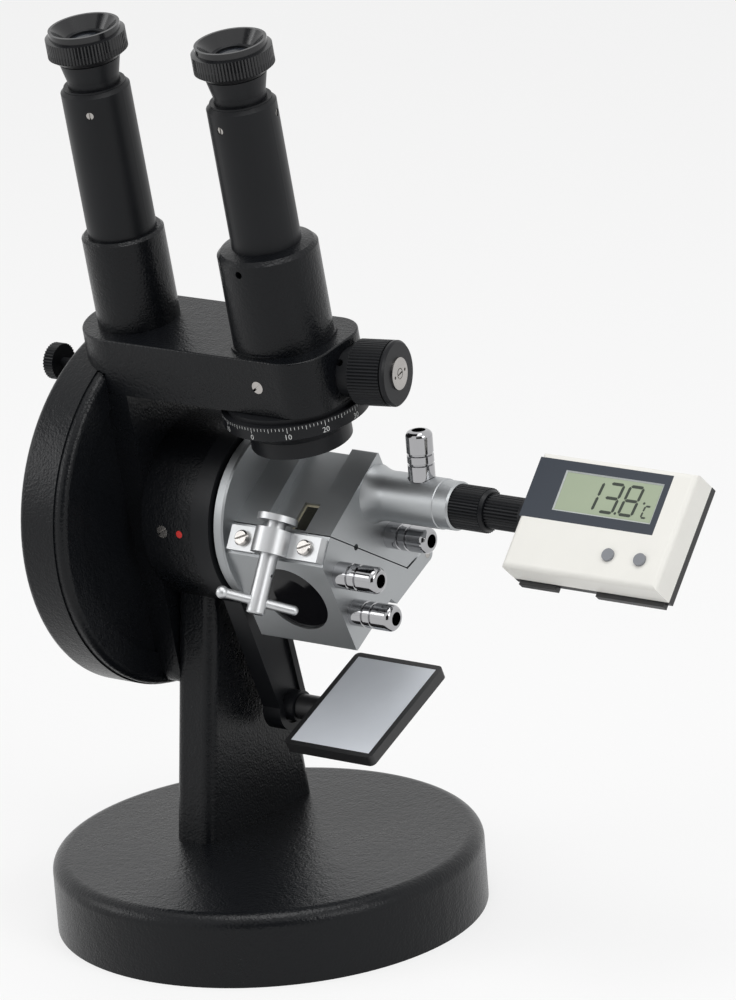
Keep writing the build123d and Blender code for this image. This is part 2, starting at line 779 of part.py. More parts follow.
def along(x, s):
    """The plane through a telescope's axis: first axis out along +X, second up the telescope."""
    return Plane(origin=telescope(x, s).origin, x_dir=(1, 0, 0), z_dir=(0, -u_z, u_y))


def telescope_axis(x):
    """The axis of a telescope."""
    return Axis(telescope(x, 0).origin, (0, u_y, u_z))


with BuildPart() as left_sleeve:
    with BuildSketch(telescope(left_tube_x, bridge_height)):
        Circle(left_sleeve_radius)
    extrude(amount=left_sleeve_top - bridge_height)
    chamfer(left_sleeve.edges().filter_by(GeomType.CIRCLE).sort_by(Axis.Z)[-1], sleeve_chamfer)
    with BuildSketch(telescope(left_tube_x, bridge_height)):
        Circle(tube_radius + SEAT)
    extrude(amount=tube_top, mode=Mode.SUBTRACT)
write(left_sleeve, "left_sleeve")

with BuildPart() as right_sleeve:
    with BuildSketch(along(right_tube_x, 0)):
        Polygon((tube_radius + SEAT, bridge_height), (right_sleeve_radius, bridge_height),
                (right_sleeve_radius, right_sleeve_top - sleeve_cone - sleeve_bevel),
                (right_sleeve_radius - sleeve_bevel, right_sleeve_top - sleeve_cone),
                (tube_radius + SEAT, right_sleeve_top), align=None)
    revolve(axis=telescope_axis(right_tube_x))
    with BuildSketch(radial(right_tube_x, right_sleeve_top - sleeve_hole_down, -90, tube_radius)):
        Circle(set_screw_radius)
    extrude(amount=right_sleeve_radius, mode=Mode.SUBTRACT)
write(right_sleeve, "right_sleeve")


def telescope_tube(x, screws):
    """Solid of a telescope's tube with its end ring and its threaded holes."""
    with BuildPart() as tube:
        with BuildSketch(telescope(x, bridge_height)):
            Circle(tube_radius)
        extrude(amount=tube_top - bridge_height)
        chamfer(tube.edges().filter_by(GeomType.CIRCLE).sort_by(Axis.Z)[-1], tube_chamfer)
        with BuildSketch(telescope(x, tube_top)):
            Circle(tube_lip_radius)
        extrude(amount=tube_lip_height)
        with BuildSketch(telescope(x, bridge_height)):
            Circle(tube_bore)
        extrude(amount=tube_top, mode=Mode.SUBTRACT)
        for screw in screws:
            with BuildSketch(radial(x, *screw, 0)):
                Circle(set_screw_radius + SEAT)
            extrude(amount=tube_radius + SLIDE, mode=Mode.SUBTRACT)
    return tube


left_tube = telescope_tube(left_tube_x, [left_screw_at])
write(left_tube, "left_tube")
right_tube = telescope_tube(right_tube_x, right_screws_at)
write(right_tube, "right_tube")

screws_at = [(left_tube_x, *left_screw_at)] + [(right_tube_x, *screw) for screw in right_screws_at]
with BuildPart() as set_screws:
    for place in screws_at:
        with BuildSketch(radial(*place, tube_bore + set_screw_sink)):
            Circle(set_screw_radius)
        extrude(amount=tube_radius - tube_bore - 2 * set_screw_sink)
        with BuildSketch(radial(*place, tube_radius - set_screw_sink)):
            Rectangle(2 * set_screw_radius, set_screw_slot)
        extrude(amount=-2 * set_screw_sink, mode=Mode.SUBTRACT)
write(set_screws, "set_screws")


def lens_shape(x, foot, radius, rim, bulge):
    """Solid of a lens, flat below and domed above, square to a telescope."""
    ball = (radius ** 2 + bulge ** 2) / (2 * bulge)
    middle = (radius / 2, foot + rim + bulge - ball + (ball ** 2 - radius ** 2 / 4) ** 0.5)
    with BuildPart() as lens:
        with BuildSketch(along(x, 0)):
            with BuildLine():
                Polyline((0, foot), (radius, foot), (radius, foot + rim))
                ThreePointArc((radius, foot + rim), middle, (0, foot + rim + bulge))
                Line((0, foot + rim + bulge), (0, foot))
            make_face()
        revolve(axis=telescope_axis(x))
    return lens


objective_lens = lens_shape(right_tube_x, bridge_height, tube_bore - SEAT, lens_rim, lens_bulge)
write(objective_lens, "objective_lens")
reading_lens = lens_shape(left_tube_x, bridge_height - lens_sink, tube_bore - SEAT, lens_rim, lens_bulge)
write(reading_lens, "reading_lens")

# ---------------------------------------------------------------- compensator
ring_bottom = -dispersion_gap - dispersion_height
barrel_inner = comp_barrel_radius - comp_barrel_wall
with BuildPart(telescope(right_tube_x, 0)) as dispersion_ring:
    with Locations((0, 0, ring_bottom)):
        Cylinder(dispersion_radius, dispersion_height, align=(Align.CENTER, Align.CENTER, Align.MIN))
        Cylinder(bowl_radius, dispersion_height + dispersion_gap - SLIDE,
                 align=(Align.CENTER, Align.CENTER, Align.MIN))
        Cylinder(comp_barrel_radius, crown_s - crown_root * comp_module - ring_bottom,
                 align=(Align.CENTER, Align.CENTER, Align.MIN))
    with PolarLocations(crown_radius, crown_teeth):
        with Locations((0, 0, crown_s - crown_root * comp_module)):
            Box(comp_barrel_wall - 2 * SLIDE, crown_tooth_width, (crown_root + crown_tip) * comp_module,
                align=(Align.CENTER, Align.CENTER, Align.MIN))
    with Locations((0, 0, ring_bottom)):
        Cylinder(barrel_inner, chamber_s - ring_bottom, align=(Align.CENTER, Align.CENTER, Align.MIN),
                 mode=Mode.SUBTRACT)
write(dispersion_ring, "dispersion_ring")

bowl_bottom = ring_bottom - bowl_depth
snout_bottom = bowl_bottom - snout_length
amici_ledge = snout_bottom + amici_foot
with BuildPart() as compensator_bowl:
    with BuildSketch(along(right_tube_x, 0)):
        with BuildLine():
            Polyline((bowl_radius, ring_bottom), (snout_radius, bowl_bottom), (snout_radius, snout_bottom),
                     (snout_bore, snout_bottom), (snout_bore, amici_ledge), (barrel_inner, amici_ledge),
                     (barrel_inner, ring_bottom), close=True)
        make_face()
    revolve(axis=telescope_axis(right_tube_x))
write(compensator_bowl, "compensator_bowl")

with BuildPart() as amici_prism:
    with BuildSketch(along(right_tube_x, amici_ledge).offset(-amici_half)):
        with BuildLine():
            Polyline((-amici_half, 0), (amici_half, 0), (amici_half - amici_slant, amici_height),
                     (amici_slant - amici_half, amici_height), close=True)
        make_face()
    extrude(amount=2 * amici_half)
write(amici_prism, "amici_prism")

comp_pinion_start = crown_radius - comp_pinion_width / 2
knob_start = collar_start + collar_length + comp_knob_gap
knob_end = knob_start + comp_knob_length
with BuildPart() as compensator_shaft:
    with BuildSketch(knob_plane(comp_pinion_start)):
        with BuildLine():
            Polyline(*gear_outline(comp_pinion_teeth, comp_module, comp_pinion_teeth,
                                   270 + 180 / comp_pinion_teeth, crown_tip, crown_root, 0.36), close=True)
        make_face()
    extrude(amount=comp_pinion_width)
    with BuildSketch(knob_plane(comp_pinion_start)):
        Circle(comp_shaft_radius)
    extrude(amount=knob_end - comp_knob_floor - comp_pinion_start)
write(compensator_shaft, "compensator_shaft")

with BuildPart() as knob_collar:
    with BuildSketch(knob_plane(collar_start)):
        Circle(collar_radius)
    extrude(amount=collar_length)
    chamfer(knob_collar.edges().filter_by(GeomType.CIRCLE).sort_by(Axis.X)[-1], 0.6)
    with BuildSketch(knob_plane(collar_start)):
        Circle(comp_shaft_radius + RUN)
    extrude(amount=collar_length, mode=Mode.SUBTRACT)
    hole_turn = radians(collar_hole_turn + lean)
    collar_side = Plane(origin=knob_plane(collar_start + collar_hole_at * collar_length).origin,
                        x_dir=(1, 0, 0), z_dir=(0, -cos(hole_turn), sin(hole_turn)))
    with BuildSketch(collar_side.offset(comp_shaft_radius + collar_hole_floor)):
        Circle(collar_hole)
    extrude(amount=collar_radius, mode=Mode.SUBTRACT)
write(knob_collar, "knob_collar")

grip_length = comp_knob_length - comp_knob_plate - comp_knob_groove
disc_seat = knob_end - end_disc_thickness + end_disc_proud
with BuildPart() as compensator_knob:
    with BuildSketch(knob_plane(knob_start)):
        add(knurl(comp_knob_radius, comp_knob_flutes))
    extrude(amount=grip_length)
    with BuildSketch(knob_plane(knob_start + grip_length)):
        Circle(comp_knob_radius - comp_knob_edge)
    extrude(amount=comp_knob_groove)
    with BuildSketch(knob_plane(knob_end - comp_knob_plate)):
        Circle(comp_knob_radius)
    extrude(amount=comp_knob_plate)
    chamfer(compensator_knob.edges().filter_by(GeomType.CIRCLE).sort_by(Axis.X)[-1], comp_knob_edge)
    with BuildSketch(knob_plane(knob_start)):
        Circle(comp_shaft_radius + SEAT)
    extrude(amount=comp_knob_length - comp_knob_floor, mode=Mode.SUBTRACT)
    with BuildSketch(knob_plane(disc_seat)):
        Circle(end_disc_radius + SEAT)
    extrude(amount=end_disc_thickness, mode=Mode.SUBTRACT)
write(compensator_knob, "compensator_knob")

with BuildPart() as knob_end_disc:
    with BuildSketch(knob_plane(disc_seat)):
        Circle(end_disc_radius)
    extrude(amount=end_disc_thickness)
    with BuildSketch(knob_plane(knob_end + end_disc_proud)):
        Circle(end_disc_hub)
        Circle(end_disc_hub - end_disc_line, mode=Mode.SUBTRACT)
        Rectangle(2 * (end_disc_hub - end_disc_line), 2 * end_disc_line)
        with Locations((-end_disc_pin_at, 0), (end_disc_pin_at, 0)):
            Circle(end_disc_pin_hole)
    extrude(amount=-end_disc_proud, mode=Mode.SUBTRACT)
write(knob_end_disc, "knob_end_disc")

# ---------------------------------------------------------------- eyepieces
neck_top = tube_top + eyepiece_neck_show
cone_top = neck_top + eyepiece_cone_height
spigot_top = cone_top + spigot_length
turret_top = spigot_top + turret_height
lens_foot = turret_top - eye_lens_depth
ring_foot = cone_top + SLIDE
ring_knurl = ring_foot + ring_cone
ring_top = ring_knurl + ring_height
cup_top = ring_top + cup_height


def eyepiece_barrel(x):
    """Solid of an eyepiece's barrel, which slides in its tube."""
    with BuildPart() as barrel:
        with BuildSketch(along(x, 0)):
            Polygon((barrel_bore, tube_top - eyepiece_insert), (eyepiece_neck, tube_top - eyepiece_insert),
                    (eyepiece_neck, neck_top), (eyepiece_cone_top, cone_top), (spigot_radius, cone_top),
                    (spigot_radius, spigot_top), (turret_radius, spigot_top), (turret_radius, turret_top),
                    (eye_lens_radius + SEAT, turret_top), (eye_lens_radius + SEAT, lens_foot),
                    (barrel_bore, lens_foot), align=None)
        revolve(axis=telescope_axis(x))
    return barrel


def dioptre_ring(x):
    """Solid of the ring that turns on a barrel, with its eye cup."""
    throat = turret_radius + SLIDE
    with BuildPart() as ring:
        with BuildSketch(along(x, 0)):
            Polygon((spigot_radius + RUN, ring_foot), (eyepiece_cone_top, ring_foot),
                    (ring_radius, ring_knurl), (ring_radius, ring_top),
                    (cup_radius, ring_top + cup_step), (cup_radius, cup_top),
                    (cup_radius - cup_rim, cup_top), (throat, turret_top - cup_step),
                    (throat, spigot_top + SLIDE), (spigot_radius + RUN, spigot_top + SLIDE), align=None)
        revolve(axis=telescope_axis(x))
        with BuildSketch(telescope(x, ring_knurl)):
            with PolarLocations(ring_radius, ring_flutes):
                RegularPolygon(flute_depth, 4)
        extrude(amount=ring_height, mode=Mode.SUBTRACT)
    return ring


left_barrel = eyepiece_barrel(left_tube_x)
write(left_barrel, "left_barrel")
right_barrel = eyepiece_barrel(right_tube_x)
write(right_barrel, "right_barrel")
left_dioptre_ring = dioptre_ring(left_tube_x)
write(left_dioptre_ring, "left_dioptre_ring")
right_dioptre_ring = dioptre_ring(right_tube_x)
write(right_dioptre_ring, "right_dioptre_ring")
left_eye_lens = lens_shape(left_tube_x, lens_foot, eye_lens_radius, eye_lens_rim, eye_lens_bulge)
write(left_eye_lens, "left_eye_lens")
right_eye_lens = lens_shape(right_tube_x, lens_foot, eye_lens_radius, eye_lens_rim, eye_lens_bulge)
write(right_eye_lens, "right_eye_lens")

# ---------------------------------------------------------------- mirror bracket
# the front edge touches both circles; its outward direction is worked out first
tongue_distance = hypot(*tongue_end)
tongue_rise = bracket_radius - tongue_end_radius
tongue_turn = atan2(tongue_end[1], tongue_end[0]) - asin(tongue_rise / tongue_distance)
front_normal = (sin(tongue_turn), -cos(tongue_turn))
heel = radians(tongue_heel)
pivot_from_shaft = (mirror_pivot[0] - shaft_y, mirror_pivot[1] - shaft_z)
with BuildSketch() as bracket_outline:
    Circle(bracket_radius)
    with Locations(tongue_end):
        Circle(tongue_end_radius)
    with BuildLine():
        Polyline((bracket_radius * front_normal[0], bracket_radius * front_normal[1]),
                 (tongue_end[0] + tongue_end_radius * front_normal[0],
                  tongue_end[1] + tongue_end_radius * front_normal[1]),
                 (tongue_end[0] + tongue_end_radius * cos(heel),
                  tongue_end[1] + tongue_end_radius * sin(heel)),
                 tongue_root, (0, 0), close=True)
    make_face()

with BuildPart() as mirror_bracket:
    with BuildSketch(across(housing_right_x)):
        add(bracket_outline.sketch)
    extrude(amount=bracket_thickness)
    with BuildSketch(across(bracket_x)):
        offset(bracket_outline.sketch, amount=-bracket_border)
    extrude(amount=-bracket_rim, mode=Mode.SUBTRACT)
    with BuildSketch(across(bracket_x - bracket_rim)):
        with Locations(pivot_from_shaft):
            Circle(mirror_boss_radius)
    extrude(amount=bracket_rim + mirror_boss_length)
    with BuildSketch(across(housing_right_x + bracket_floor)):
        with Locations(pivot_from_shaft):
            Circle(mirror_pin_radius + RUN)
    extrude(amount=bracket_thickness + mirror_boss_length, mode=Mode.SUBTRACT)
    with BuildSketch(across(housing_right_x)):
        Circle(shaft_radius + shaft_play)
    extrude(amount=bracket_thickness, mode=Mode.SUBTRACT)
write(mirror_bracket, "mirror_bracket")

# ---------------------------------------------------------------- upper prism box
def box_vector(at):
    """World direction of a direction given in the frame of the parting plane."""
    return Vector(0, at[0] * e_y - at[1] * e_z, at[0] * e_z + at[1] * e_y)


half_gap = parting_gap / 2
slope = hypot(upper_apex[0], upper_apex[1] - half_gap)
slope_out = ((half_gap - upper_apex[1]) / slope, upper_apex[0] / slope)
top_face = Plane(origin=box_point((0, half_gap), box_x), x_dir=(1, 0, 0), z_dir=box_vector(slope_out))
prism_lean = prism_rise * upper_apex[0] / upper_apex[1]
upper_prism_points = ((prism_front, half_gap), (prism_front + prism_lean, half_gap + prism_rise),
                      (prism_top_back, half_gap + prism_rise), (prism_back, half_gap))
lug_drop = (upper_apex[1] - upper_back[1]) / (upper_back[0] - upper_apex[0])
lug_points = ((lug_top, upper_apex[1] - (lug_top - upper_apex[0]) * lug_drop),
              (hinge_at[0], hinge_at[1] + hinge_barrel), hinge_at, lug_foot)
middle_lug = box_width - 2 * (hinge_lug + hinge_gap)


def spindle_plane(height):
    """The plane square to the latch spindle at a height above the parting plane."""
    return Plane(origin=box_point((-latch_offset, height), latch_x), x_dir=(1, 0, 0),
                 z_dir=box_vector((0, 1)))


with BuildPart() as upper_prism_box:
    with BuildSketch(box_plane(box_x)):
        Polygon((0, half_gap), upper_apex, upper_back, (parting_depth, half_gap), align=None)
    extrude(amount=box_width)
    fillet(upper_prism_box.edges().filter_by(Axis.X).group_by(Axis.Z)[-1], box_round)
    with BuildSketch(box_plane(box_x + hinge_lug + hinge_gap)):
        Polygon(*lug_points, align=None)
        with Locations(hinge_at):
            Circle(hinge_barrel)
    extrude(amount=middle_lug)
    with BuildSketch(box_plane(box_x)):
        with Locations(hinge_at):
            Circle(hinge_pin_radius + SEAT)
    extrude(amount=box_width, mode=Mode.SUBTRACT)
    with BuildSketch(box_plane(box_x + prism_inset)):
        offset(Polygon(*upper_prism_points, align=None), amount=SEAT)
        with Locations((0, half_gap)):
            Rectangle(parting_depth, half_gap, align=(Align.MIN, Align.MAX), mode=Mode.SUBTRACT)
    extrude(amount=box_width - 2 * prism_inset, mode=Mode.SUBTRACT)
    with BuildSketch(top_face.offset(SLIDE)):
        with Locations((trough_left, -trough_depth)):
            Rectangle(trough_width, slope + 2 * trough_depth, align=(Align.MIN, Align.MIN))
    extrude(amount=-trough_depth - SLIDE, mode=Mode.SUBTRACT)
    with BuildSketch(top_face.offset(SLIDE)):
        with Locations((sight_left, sight_start)):
            Rectangle(sight_width, sight_length, align=(Align.MIN, Align.MIN))
    extrude(amount=-sight_depth - SLIDE, mode=Mode.SUBTRACT)
    with BuildSketch(spindle_plane(latch_disc_base - SLIDE)):
        Circle(latch_disc_radius + hinge_gap)
    extrude(amount=latch_disc_height + 2 * SLIDE, mode=Mode.SUBTRACT)
    with BuildSketch(box_plane(box_end_x)):
        with Locations(upper_nozzle_at):
            Circle(nozzle_spigot + SEAT)
    extrude(amount=-nozzle_seat, mode=Mode.SUBTRACT)
    with BuildSketch(box_plane(box_end_x)):
        with Locations(well_at):
            Circle(probe_radius + SLIDE)
    extrude(amount=-probe_hole, mode=Mode.SUBTRACT)
    with BuildSketch(box_plane(box_end_x)):
        with Locations((hole_at, 0)):
            Circle(hole_radius)
    extrude(amount=-hole_depth, mode=Mode.SUBTRACT)
write(upper_prism_box, "upper_prism_box")

with BuildPart() as measuring_prism:
    with BuildSketch(box_plane(box_x + prism_inset + SEAT)):
        Polygon(*upper_prism_points, align=None)
    extrude(amount=box_width - 2 * (prism_inset + SEAT))
write(measuring_prism, "measuring_prism")

# ---------------------------------------------------------------- lower prism box
front_slope = hypot(lower_bottom[0], lower_bottom[1] + lower_front)
slope_back = (lower_bottom[0] / front_slope, (lower_bottom[1] + lower_front) / front_slope)
under_face = Plane(origin=box_point((0, -lower_front), box_x), x_dir=(1, 0, 0),
                   z_dir=box_vector((slope_back[1], -slope_back[0])))
window_at = (box_width / 2 + window_side, -window_down)
lower_prism_points = ((lower_prism_front, -half_gap), (lower_prism_front, -half_gap - lower_prism_face),
                      lower_prism_low, (lower_prism_back, -half_gap))
back_length = hypot(upper_back[0] - parting_depth, upper_back[1] - half_gap)
back_run = ((upper_back[0] - parting_depth) / back_length, (upper_back[1] - half_gap) / back_length)
leaf_low = (parting_depth + leaf_gap * back_run[1], half_gap - leaf_gap * back_run[0])
leaf_high = (leaf_low[0] + leaf_rise * back_run[0], leaf_low[1] + leaf_rise * back_run[1])
leaf_points = (lower_back, leaf_heel, leaf_tip, hinge_at, leaf_high, leaf_low, (parting_depth, -half_gap))
bar_middle = -bar_top - bar_height / 2
bar_length = box_width - 2 * bar_inset


def screw_plane(step, stand):
    """The plane square to a clamp screw, at a distance in front of the lower box; step is -1 or 1."""
    place = box_point((-stand, bar_middle), latch_x + step * clamp_screw_spacing / 2)
    return Plane(origin=place, x_dir=(1, 0, 0), z_dir=box_vector((-1, 0)))


with BuildPart() as lower_prism_box:
    with BuildSketch(box_plane(box_x)):
        Polygon((0, -half_gap), (0, -lower_front), lower_bottom, lower_back, (parting_depth, -half_gap),
                align=None)
    extrude(amount=box_width)
    fillet(lower_prism_box.edges().filter_by(Axis.X).group_by(Axis.Z)[0], box_round)
    with BuildSketch(box_plane(box_x)):
        Polygon(*leaf_points, align=None)
        with Locations(hinge_at):
            Circle(hinge_barrel)
    extrude(amount=box_width)
    with BuildSketch(box_plane(box_x + hinge_lug)):
        offset(Polygon(*lug_points, align=None), amount=hinge_gap)
        with Locations(hinge_at):
            Circle(hinge_barrel + hinge_gap)
    extrude(amount=box_width - 2 * hinge_lug, mode=Mode.SUBTRACT)
    with BuildSketch(box_plane(box_x)):
        with Locations(hinge_at):
            Circle(hinge_pin_radius + RUN)
    extrude(amount=box_width, mode=Mode.SUBTRACT)
    with BuildSketch(box_plane(box_x + prism_inset)):
        offset(Polygon(*lower_prism_points, align=None), amount=SEAT)
        with Locations((0, -half_gap)):
            Rectangle(parting_depth, half_gap, align=(Align.MIN, Align.MIN), mode=Mode.SUBTRACT)
    extrude(amount=box_width - 2 * prism_inset, mode=Mode.SUBTRACT)
    with BuildSketch(under_face):
        with Locations(window_at):
            Circle(window_radius)
    extrude(amount=-window_recess, mode=Mode.SUBTRACT)
    with BuildSketch(under_face):
        with Locations(window_at):
            Circle(window_radius - window_light_margin)
    extrude(amount=-window_light_depth, mode=Mode.SUBTRACT)
    with BuildSketch(box_plane(box_end_x)):
        with Locations(*lower_nozzles_at):
            Circle(nozzle_spigot + SEAT)
    extrude(amount=-nozzle_seat, mode=Mode.SUBTRACT)
    with BuildSketch(box_plane(box_end_x)):
        with Locations((hole_at, 0)):
            Circle(hole_radius)
    extrude(amount=-hole_depth, mode=Mode.SUBTRACT)
    for step in (-1, 1):
        with BuildSketch(screw_plane(step, 0)):
            Circle(clamp_screw_core + SEAT)
        extrude(amount=-clamp_screw_reach - SLIDE, mode=Mode.SUBTRACT)
write(lower_prism_box, "lower_prism_box")

with BuildPart() as illuminating_prism:
    with BuildSketch(box_plane(box_x + prism_inset + SEAT)):
        Polygon(*lower_prism_points, align=None)
    extrude(amount=box_width - 2 * (prism_inset + SEAT))
write(illuminating_prism, "illuminating_prism")

with BuildPart() as hinge_pin:
    with BuildSketch(box_plane(box_x)):
        with Locations(hinge_at):
            Circle(hinge_pin_radius)
    extrude(amount=box_width)
write(hinge_pin, "hinge_pin")

# ---------------------------------------------------------------- latch
with BuildPart() as clamp_bar:
    with BuildSketch(spindle_plane(-bar_top)):
        with Locations((0, latch_offset)):
            Rectangle(bar_length, bar_thickness, align=(Align.CENTER, Align.MAX))
        Circle(boss_radius)
        with Locations((0, latch_offset)):
            Rectangle(bar_length, boss_radius, align=(Align.CENTER, Align.MIN), mode=Mode.SUBTRACT)
        Circle(spindle_radius + RUN, mode=Mode.SUBTRACT)
    extrude(amount=-bar_height)
    for step in (-1, 1):
        with BuildSketch(screw_plane(step, 0)):
            Circle(clamp_screw_core + SEAT)
        extrude(amount=bar_thickness, mode=Mode.SUBTRACT)
write(clamp_bar, "clamp_bar")

with BuildPart() as clamp_screws:
    for step in (-1, 1):
        with BuildSketch(screw_plane(step, bar_thickness)):
            Circle(clamp_screw_radius)
        extrude(amount=clamp_screw_head)
        with BuildSketch(screw_plane(step, bar_thickness)):
            Circle(clamp_screw_core)
        extrude(amount=-bar_thickness - clamp_screw_reach)
    heads = clamp_screws.faces().sort_by(Axis(spindle_plane(0).origin, box_vector((-1, 0))))[-2:]
    chamfer(heads.edges(), clamp_screw_edge)
    for step in (-1, 1):
        with BuildSketch(screw_plane(step, bar_thickness + clamp_screw_head)):
            Rectangle(2 * clamp_screw_radius, clamp_screw_slot, rotation=clamp_screw_turn)
        extrude(amount=-clamp_screw_head / 2, mode=Mode.SUBTRACT)
write(clamp_screws, "clamp_screws")

crossbar_side = radians(crossbar_turn)
crossbar_out = Vector(cos(crossbar_side), 0, 0) + box_vector((1, 0)) * sin(crossbar_side)
crossbar_plane = Plane(origin=spindle_plane(-crossbar_at).origin, x_dir=box_vector((0, 1)),
                       z_dir=crossbar_out)
with BuildPart() as latch_spindle:
    with BuildSketch(spindle_plane(-spindle_end)):
        Circle(spindle_radius)
    extrude(amount=spindle_end + latch_disc_base + latch_disc_height)
    chamfer(latch_spindle.edges().filter_by(GeomType.CIRCLE).sort_by(Axis.Z)[0], clamp_screw_edge)
    with BuildSketch(spindle_plane(latch_disc_base)):
        Circle(latch_disc_radius)
        with Locations((0, latch_flat)):
            Rectangle(2 * latch_disc_radius, latch_disc_radius, align=(Align.CENTER, Align.MIN),
                      mode=Mode.SUBTRACT)
    extrude(amount=latch_disc_height)
    with BuildSketch(crossbar_plane.offset(-2 * spindle_radius)):
        Circle(crossbar_radius + SEAT)
    extrude(amount=4 * spindle_radius, mode=Mode.SUBTRACT)
    with BuildSketch(Plane(origin=spindle_plane(-spindle_hole_down).origin, z_dir=(1, 0, 0))):
        Circle(spindle_hole)
    extrude(amount=2 * spindle_radius, mode=Mode.SUBTRACT)
write(latch_spindle, "latch_spindle")

with BuildPart() as latch_crossbar:
    with BuildSketch(crossbar_plane.offset(-crossbar_length / 2)):
        Circle(crossbar_radius)
    extrude(amount=crossbar_length)
    for end, radius in ((-1, crossbar_knob), (1, crossbar_radius)):
        with Locations(crossbar_plane.offset(end * crossbar_length / 2).location):
            Sphere(radius)
write(latch_crossbar, "latch_crossbar")

# ---------------------------------------------------------------- hose nozzles
def nozzle(place, out, side_axis):
    """Solid of a hose nozzle that leaves its seat at a place; side_axis is square to it."""
    grooves = []
    for start in nozzle_grooves_at:
        for share, depth in ((0, 0), (0.3, nozzle_groove_depth), (0.7, nozzle_groove_depth), (1, 0)):
            grooves.append((start + share * nozzle_groove_width, nozzle_radius - depth))
    shoulder = (nozzle_length - nozzle_nose, nozzle_radius)
    tip = (nozzle_length, nozzle_radius - nozzle_nose)
    lean_back = nozzle_nose * (1 - cos(radians(45)))
    with BuildPart() as spout:
        with BuildSketch(Plane(origin=place, x_dir=out, z_dir=side_axis)):
            with BuildLine():
                Polyline((-nozzle_seat, nozzle_bore), (-nozzle_seat, nozzle_spigot), (0, nozzle_spigot),
                         (0, nozzle_radius), *grooves, shoulder)
                ThreePointArc(shoulder, (nozzle_length - lean_back, nozzle_radius - lean_back), tip)
                Polyline(tip, (nozzle_length, nozzle_bore), (-nozzle_seat, nozzle_bore))
            make_face()
        revolve(axis=Axis(place, out))
    return spout.part


well_place = box_point(well_at, box_end_x)
well_y, well_z = well_place[1], well_place[2]
upright_x = box_end_x + well_nozzle_x
upright_z = well_z + well_radius - upright_sink
with BuildPart() as lower_nozzles:
    for at in lower_nozzles_at:
        add(nozzle(box_point(at, box_end_x), (1, 0, 0), (0, -1, 0)))
write(lower_nozzles, "lower_nozzles")

with BuildPart() as upper_nozzles:
    add(nozzle(box_point(upper_nozzle_at, box_end_x), (1, 0, 0), (0, -1, 0)))
    add(nozzle((upright_x, well_y, upright_z), (0, 0, 1), (0, 1, 0)))
write(upper_nozzles, "upper_nozzles")

# ---------------------------------------------------------------- thermometer
def well_plane(x):
    """The plane across the thermometer's axis at station x, with its second axis up."""
    return Plane(origin=(x, well_y, well_z), x_dir=(0, 1, 0), z_dir=(1, 0, 0))


well_end_x = box_end_x + well_length
ring_start = well_length - well_ring
ring_step = well_radius - well_ring_step
flare_middle = (0.35 * well_flare_length, 0.72 * well_radius + 0.28 * well_flare)
with BuildPart() as thermometer_well:
    with BuildSketch(Plane(origin=well_place, x_dir=(1, 0, 0), z_dir=(0, -1, 0))):
        with BuildLine():
            Polyline((well_floor_cone, 0), (0, 0), (0, well_flare))
            ThreePointArc((0, well_flare), flare_middle, (well_flare_length, well_radius))
            Polyline((well_flare_length, well_radius), (ring_start, well_radius),
                     (ring_start + well_ring_step, ring_step), (well_length - well_bevel, ring_step),
                     (well_length, ring_step - well_bevel), (well_length, well_bore),
                     (well_floor, well_bore), (well_floor_cone, 0))
        make_face()
    revolve(axis=Axis(well_place, (1, 0, 0)))
    with BuildSketch(well_plane(box_end_x)):
        Circle(probe_radius + SLIDE)
    extrude(amount=well_floor, mode=Mode.SUBTRACT)
    with BuildSketch(Plane.XY.offset(upright_z)):
        with Locations((upright_x, well_y)):
            Circle(nozzle_radius + SLIDE)
    extrude(amount=upright_sink, mode=Mode.SUBTRACT)
    with BuildSketch(Plane.XY.offset(upright_z - nozzle_seat)):
        with Locations((upright_x, well_y)):
            Circle(nozzle_spigot + SEAT)
    extrude(amount=nozzle_seat, mode=Mode.SUBTRACT)
write(thermometer_well, "thermometer_well")

with BuildPart() as clamp_nut:
    with BuildSketch(well_plane(well_end_x + nut_gap)):
        add(knurl(nut_radius, nut_flutes))
    extrude(amount=nut_length - nut_gap)
    with BuildSketch(well_plane(well_end_x + nut_length)):
        Circle(nut_radius - flute_depth)
    extrude(amount=nut_nose, taper=nut_nose_taper)
    with BuildSketch(well_plane(well_end_x - nut_spigot)):
        Circle(well_bore - RUN)
    extrude(amount=nut_spigot + nut_gap)
    with BuildSketch(well_plane(well_end_x - nut_spigot)):
        Circle(stem_radius + RUN)
    extrude(amount=nut_spigot + nut_length + nut_nose, mode=Mode.SUBTRACT)
write(clamp_nut, "clamp_nut")

nut_end_x = well_end_x + nut_length + nut_nose
case_x = nut_end_x + stem_show + lug_length
stem_start_x = well_end_x - nut_spigot - stem_sink
with BuildPart() as probe_stem:
    with BuildSketch(well_plane(stem_start_x)):
        Circle(stem_radius)
    extrude(amount=case_x - lug_length - stem_start_x)
    with BuildSketch(well_plane(stem_start_x - probe_length)):
        Circle(probe_radius)
    extrude(amount=probe_length)
    with BuildSketch(well_plane(nut_end_x + SLIDE)):
        add(knurl(stem_grip, stem_grip_flutes))
    extrude(amount=stem_show - SLIDE)
    with BuildSketch(well_plane(case_x - lug_length)):
        Circle(lug_radius)
    extrude(amount=lug_length)
write(probe_stem, "probe_stem")


def display(depth):
    """The plane of the display at a distance in front of the stem's axis; origin mid-left."""
    t = radians(display_tilt)
    y = well_y - depth * sin(t) - stem_above * cos(t)
    z = well_z + depth * cos(t) - stem_above * sin(t)
    return Plane(origin=(case_x, y, z), x_dir=(1, 0, 0), z_dir=(0, -sin(t), cos(t)))


